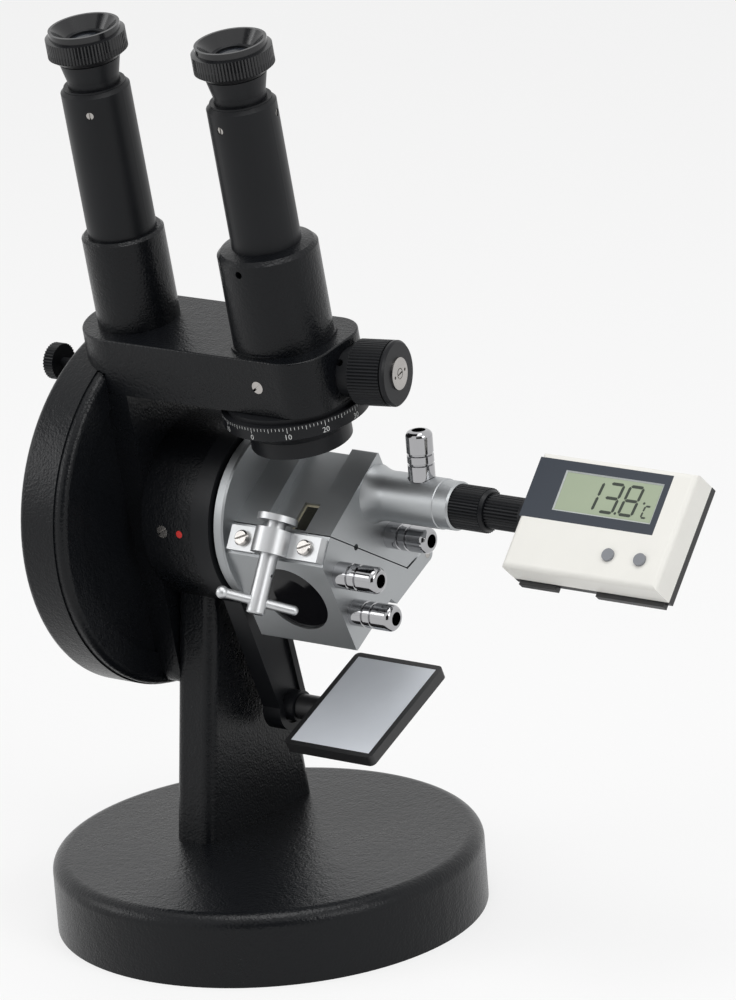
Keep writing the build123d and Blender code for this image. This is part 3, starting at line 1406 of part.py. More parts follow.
half_case = case_height / 2
shell_back = stem_behind - case_depth
corner = (Align.MIN, Align.MAX)
outward = Axis(display(0).origin, display(0).z_dir)
with BuildPart() as display_case:
    with BuildSketch(display(shell_back)):
        with Locations((0, half_case)):
            Rectangle(case_width, case_height, align=corner)
    extrude(amount=case_depth)
    fillet(display_case.faces().sort_by(outward)[-1].outer_wire().edges(), case_round)
    with BuildSketch(display(shell_back)):
        with Locations((case_wall, half_case - case_wall)):
            Rectangle(case_width - 2 * case_wall, case_height - 2 * case_wall, align=corner)
    extrude(amount=case_depth - case_wall, mode=Mode.SUBTRACT)
    with BuildSketch(display(stem_behind)):
        with Locations((0, half_case - panel_top)):
            Rectangle(panel_width, panel_height, align=corner)
    extrude(amount=-panel_depth, mode=Mode.SUBTRACT)
    with BuildSketch(display(stem_behind)):
        with Locations((lcd_left, half_case - lcd_top)):
            Rectangle(lcd_width, lcd_height, align=corner)
        with Locations(*[(left, half_case - button_down) for left in button_lefts]):
            Circle(button_radius + RUN)
    extrude(amount=-case_wall, mode=Mode.SUBTRACT)
write(display_case, "display_case")

with BuildPart() as display_panel:
    with BuildSketch(display(stem_behind)):
        with Locations((SEAT, half_case - panel_top - SEAT)):
            Rectangle(panel_width - 2 * SEAT, panel_height - 2 * SEAT, align=corner)
        with Locations((lcd_left, half_case - lcd_top)):
            Rectangle(lcd_width, lcd_height, align=corner, mode=Mode.SUBTRACT)
    extrude(amount=-panel_depth)
write(display_panel, "display_panel")

with BuildPart() as lcd:
    with BuildSketch(display(stem_behind - lcd_sink)):
        with Locations((lcd_left + SEAT, half_case - lcd_top - SEAT)):
            Rectangle(lcd_width - 2 * SEAT, lcd_height - 2 * SEAT, align=corner)
    extrude(amount=-lcd_depth)
write(lcd, "lcd")

with BuildPart() as display_back:
    with BuildSketch(display(shell_back)):
        with Locations((0, half_case)):
            Rectangle(case_width, case_height, align=corner)
    extrude(amount=-back_depth)
    fillet(display_back.faces().sort_by(outward)[0].outer_wire().edges(), back_round)
    lip_outer = case_wall + SEAT
    lip_inner = case_wall + back_lip
    with BuildSketch(display(shell_back)):
        with Locations((lip_outer, half_case - lip_outer)):
            Rectangle(case_width - 2 * lip_outer, case_height - 2 * lip_outer, align=corner)
        with Locations((lip_inner, half_case - lip_inner)):
            Rectangle(case_width - 2 * lip_inner, case_height - 2 * lip_inner, align=corner,
                      mode=Mode.SUBTRACT)
    extrude(amount=back_lip)
    for left, width in feet:
        with BuildSketch(display(shell_back - foot_depth_inset)):
            with Locations((left, foot_inset - half_case)):
                Rectangle(width, foot_height, align=corner)
        extrude(amount=-back_depth + 2 * foot_depth_inset)
write(display_back, "display_back")


def button(left):
    """Solid of one push button with its inner flange."""
    with BuildPart() as push:
        with BuildSketch(display(stem_behind - case_wall)):
            with Locations((left, half_case - button_down)):
                Circle(button_radius)
        extrude(amount=case_wall + button_height)
        with BuildSketch(display(stem_behind - case_wall)):
            with Locations((left, half_case - button_down)):
                Circle(button_radius + button_flange)
        extrude(amount=-button_foot)
    return push


left_button = button(button_lefts[0])
write(left_button, "left_button")
right_button = button(button_lefts[1])
write(right_button, "right_button")

# ---------------------------------------------------------------- mirror
tilt = radians(mirror_tilt)
mirror_mid_x = mirror_x + mirror_width / 2


def mirror_plane(height):
    """The plane of the mirror's frame at a height above its pivot."""
    y = mirror_pivot[0] - height * sin(tilt)
    z = mirror_pivot[1] + height * cos(tilt)
    return Plane(origin=(mirror_mid_x, y, z), x_dir=(1, 0, 0), z_dir=(0, -sin(tilt), cos(tilt)))


def pivot_plane(x):
    """The plane across the mirror's pin at station x."""
    return Plane(origin=(x, mirror_pivot[0], mirror_pivot[1]), x_dir=(0, 1, 0), z_dir=(1, 0, 0))


mirror_top = mirror_rise + mirror_thickness / 2
boss_end_x = bracket_x + mirror_boss_length
pin_start_x = housing_right_x + bracket_floor + SLIDE
collar_end_x = mirror_x + mirror_collar_reach
with BuildPart() as mirror_frame:
    with BuildSketch(mirror_plane(mirror_top)):
        RectangleRounded(mirror_width, mirror_length, mirror_round)
    extrude(amount=-mirror_thickness)
    with BuildSketch(pivot_plane(pin_start_x)):
        Circle(mirror_pin_radius)
    extrude(amount=collar_end_x - pin_start_x)
    with BuildSketch(pivot_plane(boss_end_x + mirror_running_gap)):
        Circle(mirror_pin_radius + mirror_collar)
    extrude(amount=collar_end_x - boss_end_x - mirror_running_gap)
    with BuildSketch(mirror_plane(mirror_top)):
        Rectangle(mirror_width - 2 * mirror_border, mirror_length - 2 * mirror_border)
    extrude(amount=-mirror_glass_thickness, mode=Mode.SUBTRACT)
write(mirror_frame, "mirror_frame")

with BuildPart() as mirror_glass:
    with BuildSketch(mirror_plane(mirror_top - mirror_glass_thickness)):
        Rectangle(mirror_width - 2 * (mirror_border + SEAT), mirror_length - 2 * (mirror_border + SEAT))
    extrude(amount=mirror_glass_thickness - 0.1)
write(mirror_glass, "mirror_glass")
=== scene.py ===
import math
import bmesh
import bpy
import numpy as np
from mathutils import Matrix, Vector


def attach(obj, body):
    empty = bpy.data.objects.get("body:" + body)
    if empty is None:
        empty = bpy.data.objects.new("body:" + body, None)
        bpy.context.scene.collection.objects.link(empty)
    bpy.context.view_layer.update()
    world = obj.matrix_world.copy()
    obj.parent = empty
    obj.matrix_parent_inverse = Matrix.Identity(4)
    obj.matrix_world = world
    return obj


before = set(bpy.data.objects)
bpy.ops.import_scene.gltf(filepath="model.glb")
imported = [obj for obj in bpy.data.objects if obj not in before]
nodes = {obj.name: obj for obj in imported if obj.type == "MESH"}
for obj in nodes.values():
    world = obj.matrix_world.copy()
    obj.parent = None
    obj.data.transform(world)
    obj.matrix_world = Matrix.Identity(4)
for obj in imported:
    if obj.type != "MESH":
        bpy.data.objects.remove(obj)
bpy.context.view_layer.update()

# ---- camera
# A long lens a little over two metres away, from the observer's right and a little above,
# rolled by four and a half degrees as the instrument leans in its picture.
eye = Vector((1.36206, -1.67290, 0.82205))
ahead = Vector((-0.58726, 0.75196, -0.29946))
level_right = Vector((0.78813, 0.61551, 0.0))
level_up = Vector((-0.18432, 0.23601, 0.95411))
roll = math.radians(-4.477)
lens_length = 238.66        # in millimetres, on the usual 36 mm sensor
sight_end = 20.0
right = math.cos(roll) * level_right + math.sin(roll) * level_up
up = math.cos(roll) * level_up - math.sin(roll) * level_right
camera = bpy.data.objects.new("camera", bpy.data.cameras.new("camera"))
camera.data.lens = lens_length
camera.data.clip_end = sight_end
camera.matrix_world = Matrix.Translation(eye) @ Matrix((right, up, -ahead)).transposed().to_4x4()
bpy.context.scene.collection.objects.link(camera)
bpy.context.scene.camera = camera
bpy.context.scene.view_settings.view_transform = "Standard"


# ---- round base and its bolts
# Cast iron disc, turned and sprayed with black wrinkle enamel that is duller in patches; three
# steel socket bolts come up from below into the pillar.
class Wire:
    """One socket of a material: arithmetic on it adds Math nodes, node() adds any other node."""

    def __init__(self, tree, socket):
        self.tree = tree
        self.socket = socket

    def node(self, kind, settings, sockets, out=0):
        """Adds a node: its settings first, then its sockets' values or links; returns one output."""
        made = self.tree.nodes.new("ShaderNode" + kind)
        for name, value in settings.items():
            setattr(made, name, value)
        for name, value in sockets.items():
            if isinstance(value, Wire):
                self.tree.links.new(value.socket, made.inputs[name])
            else:
                made.inputs[name].default_value = value
        return Wire(self.tree, made.outputs[out])

    def _maths(self, operation, *values):
        return self.node("Math", {"operation": operation}, dict(enumerate(values)))

    def __add__(self, other):
        return self._maths("ADD", self, other)

    def __radd__(self, other):
        return self._maths("ADD", other, self)

    def __sub__(self, other):
        return self._maths("SUBTRACT", self, other)

    def __rsub__(self, other):
        return self._maths("SUBTRACT", other, self)

    def __mul__(self, other):
        return self._maths("MULTIPLY", self, other)

    def __rmul__(self, other):
        return self._maths("MULTIPLY", other, self)

    def __gt__(self, other):
        return self._maths("GREATER_THAN", self, other)


def new_finish(name, colour, metallic, roughness):
    """A material with its plain values; returns it, its shader and the object's coordinates."""
    material = bpy.data.materials.new(name)
    material.use_nodes = True
    shader = material.node_tree.nodes["Principled BSDF"]
    shader.inputs["Base Color"].default_value = (*colour, 1)
    shader.inputs["Metallic"].default_value = metallic
    shader.inputs["Roughness"].default_value = roughness
    place = Wire(material.node_tree, None).node("TexCoord", {}, {}, "Object")
    return material, shader, place


def feed(shader, **wires):
    """Links wires to the shader's sockets; an underscore in a name stands for a space."""
    for name, wire in wires.items():
        wire.tree.links.new(wire.socket, shader.inputs[name.replace("_", " ")])


def noise(place, scale, detail=2.0, out="Fac"):
    """Soft noise from 0 to 1 with grains of about one over scale metres."""
    return place.node("TexNoise", {}, {"Vector": place, "Scale": scale, "Detail": detail}, out)


def bumps(height, strength, depth):
    """A normal from a height, where depth is the height's reach in metres."""
    return height.node("Bump", {}, {"Height": height, "Strength": strength, "Distance": depth}, "Normal")


def blend_colours(mask, low, high):
    """A colour between two, by a mask from 0 to 1."""
    return mask.node("Mix", {"data_type": "RGBA"}, {"Factor": mask, 6: (*low, 1), 7: (*high, 1)}, 2)


def dress(material, *names):
    """Gives CAD nodes their material."""
    for name in names:
        nodes[name].data.materials.clear()
        nodes[name].data.materials.append(material)


def wrinkle_enamel(name, colour, grain):
    """Black stoving enamel: fine pebbles about one over the grain metres wide, duller in patches."""
    material, shader, place = new_finish(name, colour, metallic=0.0, roughness=0.34)
    shader.inputs["Specular IOR Level"].default_value = 0.21
    pebbles = noise(place, grain)
    swell = noise(place, 0.28 * grain)
    patches = noise(place, 22.0, detail=3.0)
    feed(shader,
         Base_Color=blend_colours(patches, colour, [1.5 * c for c in colour]),
         Roughness=0.18 + 0.12 * patches + 0.10 * pebbles,
         Normal=bumps(pebbles + 0.7 * swell, strength=0.65, depth=0.00026))
    return material


enamel = wrinkle_enamel("wrinkle_enamel", (0.0035, 0.0040, 0.0050), grain=1150.0)
dress(enamel, "base")


def turned_steel(name, colour, roughness):
    """Bare turned steel with fine tool rings and slight stains."""
    material, shader, place = new_finish(name, colour, 1.0, roughness)
    rings = noise(place, 2600.0, detail=1.0)
    stains = noise(place, 160.0, detail=3.0)
    feed(shader,
         Base_Color=blend_colours(stains, colour, [0.7 * c for c in colour]),
         Roughness=roughness - 0.06 + 0.14 * stains,
         Normal=bumps(rings, strength=0.15, depth=0.0001))
    return material


steel = turned_steel("turned_steel", (0.50, 0.48, 0.46), roughness=0.24)
dress(steel, "base_bolts")

# ---- pillar and shaft housing
# One casting in the same wrinkle enamel, bolted up through the base; bronze bushes are pressed
# into its bore, and a steel screw and a red index dot sit in its front.
dress(enamel, "pillar")


def cast_brass(name, colour):
    """Machined brass with faint warm clouding."""
    material, shader, place = new_finish(name, colour, metallic=1.0, roughness=0.3)
    clouds = noise(place, 240.0, detail=3.0)
    feed(shader,
         Base_Color=blend_colours(clouds, colour, [0.72 * c for c in colour]),
         Roughness=0.24 + 0.18 * clouds)
    return material


brass = cast_brass("machined_brass", (0.62, 0.43, 0.17))
dress(brass, "shaft_bushes", "sector_gear", "drive_pinion")
dress(steel, "slotted_screws", "set_screws", "main_shaft")


def moulded(name, colour, roughness, grain, depth):
    """Moulded plastic with a fine spark-eroded grain."""
    material, shader, place = new_finish(name, colour, 0.0, roughness)
    grains = noise(place, grain)
    clouds = noise(place, 60.0)
    feed(shader,
         Base_Color=blend_colours(clouds, colour, [0.93 * c for c in colour]),
         Roughness=roughness - 0.04 + 0.08 * grains,
         Normal=bumps(grains, 0.2, depth))
    return material


red_dot = moulded("red_lacquer", (0.62, 0.02, 0.015), roughness=0.25, grain=900.0, depth=0.00005)
dress(red_dot, "index_plug")

# ---- arm plate, scale drum and its cover
# Castings in the same enamel as the base: the leaning plate, the round drum, its stepped cover
# and the bridge that joins the telescopes.
dress(enamel, "arm_plate", "drum_shell", "drum_cover", "bridge")

# ---- mirror bracket
# Flat black disc with a raised border on the housing's end, and a long tongue that carries the
# mirror's pin; bead-blasted and anodised black, smoother than the castings.


def satin_black(name, colour, roughness, grain):
    """Black anodised and bead-blasted metal: even, slightly sparkling, with a few dull rubs."""
    material, shader, place = new_finish(name, colour, 0.0, roughness)
    shader.inputs["Specular IOR Level"].default_value = 0.2
    beads = noise(place, grain)
    rubs = noise(place, 45.0, detail=4.0)
    feed(shader,
         Base_Color=blend_colours(rubs, colour, [1.5 * c for c in colour]),
         Roughness=roughness - 0.05 + 0.10 * rubs + 0.04 * beads,
         Normal=bumps(beads, strength=0.16, depth=0.00006))
    return material


satin = satin_black("black_anodised", (0.0065, 0.0070, 0.0082), roughness=0.36, grain=2200.0)
dress(satin, "mirror_bracket")

# ---- sleeves, tubes and eyepieces
# The sleeves are enamelled like the bridge; tubes, barrels and knurled dioptre rings are turned
# from aluminium and anodised black; the eye lenses are coated glass.
dress(enamel, "left_sleeve", "right_sleeve")
dress(satin, "left_tube", "right_tube", "left_barrel", "right_barrel")

lean = math.radians(8.4)
telescope_up = Vector((0, -math.sin(lean), math.cos(lean)))
telescope_back = Vector((0, math.cos(lean), math.sin(lean)))
telescope_foot = Vector((0.0, 0.00084, 0.1905))
cup_start = 0.1203          # up the telescope from the bridge's underside


def height_along(place, direction, foot):
    """Distance of each point from a plane through the foot, square to the direction."""
    reach = place.node("VectorMath", {"operation": "DOT_PRODUCT"}, {0: place, 1: direction}, "Value")
    return reach - direction.dot(foot)


def eye_cup(name, colour):
    """Black anodised ring, with its moulded cup from cup_start up polished smooth."""
    material, shader, place = new_finish(name, colour, metallic=0.0, roughness=0.3)
    shader.inputs["Specular IOR Level"].default_value = 0.5
    in_cup = height_along(place, telescope_up, telescope_foot) > cup_start
    rubs = noise(place, 60.0, detail=3.0)
    beads = noise(place, 2200.0)
    feed(shader,
         Base_Color=blend_colours(rubs, colour, [1.5 * c for c in colour]),
         Roughness=0.40 + 0.08 * rubs - 0.27 * in_cup,
         Normal=bumps(beads * (1 - in_cup), strength=0.16, depth=0.00006))
    return material


cup_black = eye_cup("eye_cup_black", (0.0065, 0.0068, 0.0078))
dress(cup_black, "left_dioptre_ring", "right_dioptre_ring")


def polished_glass(name, colour, roughness, transmission, gloss=0.5):
    """Optical glass with a faint coating tint, or near-black painted shade for the window, and a trace of
    dust.
    """
    material, shader, place = new_finish(name, colour, 0.0, roughness)
    shader.inputs["Specular IOR Level"].default_value = gloss
    shader.inputs["Transmission Weight"].default_value = transmission
    shader.inputs["IOR"].default_value = 1.52
    dust = noise(place, 700.0, detail=4.0)
    feed(shader, Roughness=roughness + 0.05 * dust)
    return material


eye_glass = polished_glass("coated_eye_lens", (0.035, 0.04, 0.05), roughness=0.04, transmission=0.3)
dress(eye_glass, "left_eye_lens", "right_eye_lens")
lens_glass = polished_glass("coated_lens", (0.55, 0.60, 0.66), roughness=0.03, transmission=0.85)
dress(lens_glass, "objective_lens", "reading_lens", "reading_prism", "amici_prism", "scale_disc")

# ---- compensator
# Bowl, graduated ring and knurled knob are turned and anodised black, and so is the small drive
# knob behind the drum; the ring's divisions are engraved and filled with white; the end disc of
# the compensator's knob is bare steel.
dress(satin, "dispersion_ring", "compensator_bowl", "knob_collar", "compensator_knob", "drive_knob")
dress(steel, "compensator_shaft", "knob_end_disc")

compensator_foot = telescope_foot + Vector((0.0269, 0, 0))
scale_face = 0.02523        # radius at which the white filling lies
division_count = 120
division_width = 0.00018
division_tops = -0.0024     # heights are along the telescope, from the bridge's underside
tenth_length = 0.0019
fifth_length = 0.0015
single_length = 0.0010
front_turn = -90.0          # degrees from +X round to the observer
numeral_count = 12
numeral_height = 0.0019
numeral_foot = -0.0066
capital_share = 0.7         # height of a figure as a share of its font's size


def round_ring(turn, height, radius):
    """Foot + radius * (cos turn * X + sin turn * back) + height * up, about the compensator's axis."""
    turn, height = np.asarray(turn)[..., None], np.asarray(height)[..., None]
    outward = np.cos(turn) * np.array((1.0, 0, 0)) + np.sin(turn) * np.array(telescope_back)
    return np.array(compensator_foot) + radius * outward + height * np.array(telescope_up)


def new_piece(name, points, faces, material, body):
    """A mesh piece from its points and faces, with its finish, body and material slot."""
    mesh = bpy.data.meshes.new(name)
    corners = [[int(corner) for corner in face] for face in faces]
    mesh.from_pydata(np.reshape(points, (-1, 3)).tolist(), [], corners)
    mesh.materials.append(material)
    piece = bpy.data.objects.new(name, mesh)
    bpy.context.scene.collection.objects.link(piece)
    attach(piece, body)
    return piece


def ring_divisions():
    """Four corners for each division: even turns round the ring, every fifth longer, the tenth longest."""
    number = np.arange(division_count)
    turn = np.radians(front_turn) + number * 2 * np.pi / division_count
    long = np.where(number % 10 == 0, tenth_length, np.where(number % 5 == 0, fifth_length, single_length))
    half = division_width / 2 / scale_face
    corner_turn = turn[:, None] + np.array((-half, half, half, -half))
    corner_height = division_tops - long[:, None] * np.array((1, 1, 0, 0))
    return round_ring(corner_turn, corner_height, scale_face)


def filled_paint(name, colour, roughness):
    """Paint wiped into engraved lines: matt, a little uneven in tone."""
    material, shader, place = new_finish(name, colour, 0.0, roughness)
    wipes = noise(place, 900.0, detail=3.0)
    feed(shader,
         Base_Color=blend_colours(wipes, [0.7 * c for c in colour], colour),
         Roughness=roughness + 0.1 * wipes)
    return material


scale_paint = filled_paint("scale_white", (0.62, 0.63, 0.62), roughness=0.6)
division_faces = np.arange(4 * division_count).reshape(-1, 4)
new_piece("ring_divisions", ring_divisions(), division_faces, scale_paint, "compensator")


def flat_numeral(text, height):
    """Points and faces of a plain figure, centred in width, standing on zero."""
    letters = bpy.data.curves.new("numeral", "FONT")
    letters.body = text
    letters.size = height / capital_share
    letters.align_x = "CENTER"
    letters.resolution_u = 2
    holder = bpy.data.objects.new("numeral", letters)
    mesh = bpy.data.meshes.new_from_object(holder)
    points = np.empty(3 * len(mesh.vertices))
    mesh.vertices.foreach_get("co", points)
    faces = [list(face.vertices) for face in mesh.polygons]
    bpy.data.objects.remove(holder)
    bpy.data.curves.remove(letters)
    bpy.data.meshes.remove(mesh)
    return points.reshape(-1, 3), faces


for tenth in range(numeral_count):
    numeral = str(10 * min(tenth, numeral_count - tenth))
    figure, figure_faces = flat_numeral(numeral, numeral_height)
    figure_turn = math.radians(front_turn + 360.0 / numeral_count * tenth) + figure[:, 0] / scale_face
    figure_points = round_ring(figure_turn, numeral_foot + figure[:, 1], scale_face)
    new_piece(f"ring_numeral_{tenth}", figure_points, figure_faces, scale_paint,
              "compensator")

# ---- flange and prism boxes
# Aluminium, milled and fine-blasted, then clear anodised to a satin silver; the prisms are
# polished optical glass, and cream cement shows round the measuring prism.


def satin_silver(name, colour, roughness):
    """Clear anodised aluminium: metal with a fine blasted grain and soft clouding."""
    material, shader, place = new_finish(name, colour, 1.0, roughness)
    grain = noise(place, 2600.0)
    clouds = noise(place, 38.0, detail=3.0)
    feed(shader,
         Base_Color=blend_colours(clouds, colour, [0.86 * c for c in colour]),
         Roughness=roughness - 0.05 + 0.08 * clouds + 0.05 * grain,
         Normal=bumps(grain, strength=0.18, depth=0.00008))
    return material


silver = satin_silver("anodised_aluminium", (0.43, 0.445, 0.455), roughness=0.42)
dress(silver, "prism_flange", "upper_prism_box", "lower_prism_box", "thermometer_well")
prism_glass = polished_glass("prism_glass", (0.06, 0.06, 0.05), roughness=0.06, transmission=0.3)
dress(prism_glass, "measuring_prism", "illuminating_prism")
dress(steel, "hinge_pin")

# front upper corner of the parting between the boxes, at the flange
box_corner = np.array((0.0042, -0.008605, 0.144049))
parting_fall = math.radians(30.0)


def from_box(back, up):
    """World direction of a direction in the end view of the boxes, where the parting lies level."""
    return np.array((0.0, back * math.cos(parting_fall) + up * math.sin(parting_fall),
                     up * math.cos(parting_fall) - back * math.sin(parting_fall)))


def on_face(corner, outward, side, along, out):
    """Corner + side * X + along * run + out * outward, where run is square to outward and to X."""
    run = np.array((0.0, outward[2], -outward[1]))
    side, along, out = (np.asarray(value, dtype=float)[..., None] for value in (side, along, out))
    return corner + side * np.array((1.0, 0, 0)) + along * run + out * outward


# cream cement round the measuring prism, in the bottom of the sight window
sight = np.array((0.0208, 0.0293, 0.0026, 0.0139))      # left, right, low and high edge
cement_width = 0.0007
cement_out = -0.00441
half_parting = 0.0002
top_outward = (-0.9087, 0.4173)     # of the upper box's front face, in the end view
sight_corner = box_corner + from_box(0.0, half_parting)
edge = np.array((-1, 1, 1, -1)), np.array((-1, -1, 1, 1))     # a rectangle's corners, in turn
middle = np.array((sight[0] + sight[1], sight[2] + sight[3])) / 2
reach = np.array((sight[1] - sight[0], sight[3] - sight[2])) / 2
cement_side = middle[0] + np.concatenate((edge[0] * reach[0], edge[0] * (reach[0] - cement_width)))
cement_along = middle[1] + np.concatenate((edge[1] * reach[1], edge[1] * (reach[1] - cement_width)))
cement_points = on_face(sight_corner, from_box(*top_outward), cement_side, cement_along,
                        np.full(len(cement_side), cement_out))
border_faces = [(k, (k + 1) % 4, 4 + (k + 1) % 4, 4 + k) for k in range(4)]
cement = filled_paint("cream_cement", (0.55, 0.50, 0.36), roughness=0.6)
new_piece("prism_cement", cement_points, border_faces, cement, "prism_head")

# polished glass disc set in the round recess of the lower box's slope, coloured near-black as painted
# shade of the dark opening inside
slope_top = np.array((0.0, -0.0108))        # the slope's ends in the end view
slope_foot = np.array((0.0303, -0.0331))
slope_low = slope_foot - slope_top
slope_low = slope_low / np.hypot(*slope_low)
slope_out = from_box(slope_low[1], -slope_low[0])
slope_corner = box_corner + from_box(*slope_top)
window_middle = np.array((0.0218, -0.0174))
window_sides = 72
# radius, and height out of the slope
window_profile = np.array(((0.0, -0.00035), (0.0085, -0.00045), (0.0122, -0.0007), (0.0131, -0.0008),
                           (0.01335, -0.00105), (0.01335, -0.00119), (0.0, -0.00119)))


def window_glass(count):
    """Middle + radius * (cos turn, sin turn), height out: a low dome with a bevelled rim."""
    turn = np.arange(count) * 2 * np.pi / count
    radius, out = window_profile[:, 0][:, None], window_profile[:, 1][:, None]
    side = window_middle[0] + radius * np.cos(turn)
    along = window_middle[1] + radius * np.sin(turn)
    points = on_face(slope_corner, slope_out, side, along, out + 0 * turn)
    row = np.arange(len(window_profile) - 1)[:, None] * count
    step = np.arange(count)
    after = (step + 1) % count
    faces = np.stack((row + step, row + count + step, row + count + after, row + after), axis=-1)
    return points, faces.reshape(-1, 4)


def close_poles(piece, gap):
    """Merges the points that meet at a turned piece's poles."""
    work = bmesh.new()
    work.from_mesh(piece.data)
    bmesh.ops.remove_doubles(work, verts=work.verts, dist=gap)
    bmesh.ops.recalc_face_normals(work, faces=work.faces)
    work.to_mesh(piece.data)
    work.free()


# its near-black colour is painted shade, standing for the dark inside of the opening
glass_painted_shade = polished_glass("glass_painted_shade", (0.004, 0.004, 0.005), roughness=0.04, transmission=0.0,
                             gloss=0.2)
window_points, window_faces = window_glass(window_sides)
window_piece = new_piece("window_glass", window_points, window_faces, glass_painted_shade, "lower_prism")
close_poles(window_piece, gap=1e-6)

# ---- latch
# Bright milled clamp bar on two steel screws, with a turned spindle and a cross handle; the
# anodising is paler than on the boxes.
bright = satin_silver("bright_aluminium", (0.60, 0.61, 0.62), roughness=0.40)
dress(bright, "clamp_bar", "latch_spindle", "latch_crossbar")
dress(steel, "clamp_screws")

# ---- hose nozzles
# Turned brass, polished and chromed, so that they mirror what stands round them with only a
# faint haze.


def chrome_plate(name, colour):
    """Chrome plating, almost a mirror, with a faint haze."""
    material, shader, place = new_finish(name, colour, metallic=1.0, roughness=0.06)
    haze = noise(place, 300.0, detail=3.0)
    feed(shader, Roughness=0.04 + 0.07 * haze)
    return material


chrome = chrome_plate("chrome_plate", (0.40, 0.40, 0.41))
dress(chrome, "lower_nozzles", "upper_nozzles")

# ---- thermometer
# Knurled black clamp nut, a dark stem and neck, and a clip-on display in a white moulded case
# with a slate front panel, grey liquid crystal window and two grey keys.
dress(satin, "clamp_nut", "probe_stem")
white = moulded("white_moulding", (0.83, 0.82, 0.775), roughness=0.40, grain=1300.0, depth=0.00005)
dress(white, "display_case")
black_moulding = moulded("black_moulding", (0.016, 0.016, 0.017), roughness=0.42, grain=900.0,
                         depth=0.0001)
dress(black_moulding, "display_back")
slate = moulded("slate_moulding", (0.028, 0.036, 0.050), roughness=0.38, grain=1200.0, depth=0.00005)
dress(slate, "display_panel")
grey_key = moulded("grey_key", (0.22, 0.23, 0.25), roughness=0.4, grain=1200.0, depth=0.00006)
dress(grey_key, "left_button", "right_button")
lcd_face = moulded("liquid_crystal", (0.36, 0.42, 0.30), roughness=0.25, grain=2000.0, depth=0.00001)
dress(lcd_face, "lcd")

# the display's face is tipped up by 47.6 degrees from lying flat, towards the observer
display_lean = math.radians(47.6)
display_out = np.array((0.0, -math.sin(display_lean), math.cos(display_lean)))
display_up = np.array((0.0, math.cos(display_lean), math.sin(display_lean)))
stem_axis = np.array((0.1114, 0.019012, 0.151083))      # where it enters the case
stem_above = 0.0012         # the stem's axis lies this far above the case's middle
lcd_left = 0.0118           # of the case's left side
lcd_low = 0.00105           # above the case's middle
lcd_corner = stem_axis - stem_above * display_up + lcd_left * np.array((1.0, 0, 0)) + lcd_low * display_up
lcd_size = (0.0393, 0.0147)
lcd_out = 0.00972
digit_lefts = (("1", 0.0098), ("3", 0.0178), ("8", 0.0256))
digit_foot = 0.0020
digit_height = 0.0104
digit_width = 0.0052
digit_slant = 0.10
bar_thick = 0.0011
bar_gap = 0.10              # cut from each end of a bar, as a share of its thickness
bar_point = 0.5             # length of a bar's point, as a share of its thickness
unit_left = 0.0345
unit_width = 0.0021
unit_height = 0.0042
unit_thick = 0.0007
# ends of a figure's seven bars, in shares of its width and height: top, upper left, upper right,
# middle, lower left, lower right, foot
bar_ends = np.array((((0, 1), (1, 1)), ((0, 1), (0, .5)), ((1, 1), (1, .5)), ((0, .5), (1, .5)),
                     ((0, .5), (0, 0)), ((1, .5), (1, 0)), ((0, 0), (1, 0))))
bars_lit = {"1": (2, 5), "3": (0, 2, 3, 5, 6), "8": (0, 1, 2, 3, 4, 5, 6), "C": (0, 1, 4, 6)}


def digit_bars(figure, left, foot, width, height, thick):
    """Six points for each lit bar: its line, cut back and pointed, sheared by x + slant * y."""
    ends = bar_ends[list(bars_lit[figure])] * np.array((width, height))
    line = ends[:, 1] - ends[:, 0]
    line = line / np.hypot(line[:, 0], line[:, 1])[:, None]
    across = np.stack((-line[:, 1], line[:, 0]), axis=-1) * thick / 2
    near, far = ends[:, 0] + bar_gap * thick * line, ends[:, 1] - bar_gap * thick * line
    inset = bar_point * thick * line
    flat = np.stack((near, near + inset + across, far - inset + across, far,
                     far - inset - across, near + inset - across), axis=1)
    flat[..., 0] += left + digit_slant * flat[..., 1]
    flat[..., 1] += foot
    return flat


def six_sided_dot(side, along, radius):
    """Middle + radius * (cos turn, sin turn) at six even turns, as one figure."""
    turn = np.arange(6) * np.pi / 3
    return np.stack((side + radius * np.cos(turn), along + radius * np.sin(turn)), axis=-1)[None]


figures = [digit_bars(figure, left, digit_foot, digit_width, digit_height, bar_thick)
           for figure, left in digit_lefts]
figures.append(digit_bars("C", unit_left, digit_foot, unit_width, unit_height, unit_thick))
figures.append(six_sided_dot(0.0243, 0.0021, 0.00055))      # decimal point
figures.append(six_sided_dot(0.0340, 0.0071, 0.0005))       # degree mark
figures = np.concatenate(figures)
figure_points = on_face(lcd_corner, display_out, figures[..., 0], figures[..., 1],
                        np.full(figures.shape[:2], lcd_out))
figure_faces = np.arange(6 * len(figures)).reshape(-1, 6)
liquid = filled_paint("dark_liquid_crystal", (0.030, 0.040, 0.028), roughness=0.4)
new_piece("lcd_figures", figure_points, figure_faces, liquid, "thermometer")

# bevel between the panel's face and the sunk liquid crystal, painted pale grey as a highlight along its
# edges
bevel_width = 0.0005
bevel_rim = 0.01009         # out from the stem's axis, as lcd_out
bevel_foot = 0.00974
bevel_corner = np.array(((0, 0), (lcd_size[0], 0), lcd_size, (0, lcd_size[1])))
bevel_inward = np.array(((1, 1), (-1, 1), (-1, -1), (1, -1))) * bevel_width
bevel_flat = np.concatenate((bevel_corner, bevel_corner + bevel_inward))
bevel_out = np.repeat((bevel_rim, bevel_foot), 4)
bevel_points = on_face(lcd_corner, display_out, bevel_flat[:, 0], bevel_flat[:, 1], bevel_out)
# pale grey: painted highlight, the light the bevel's edges catch
bevel_painted_highlight = filled_paint("bezel_painted_highlight", (0.50, 0.53, 0.52), roughness=0.45)
new_piece("lcd_bevel", bevel_points, border_faces, bevel_painted_highlight, "thermometer")

# ---- mirror
# Silvered glass in a black moulded frame on a swivel pin; its even pale blue is a painted reflection,
# given as a matt colour in place of a mirror's own reflection.
dress(black_moulding, "mirror_frame")


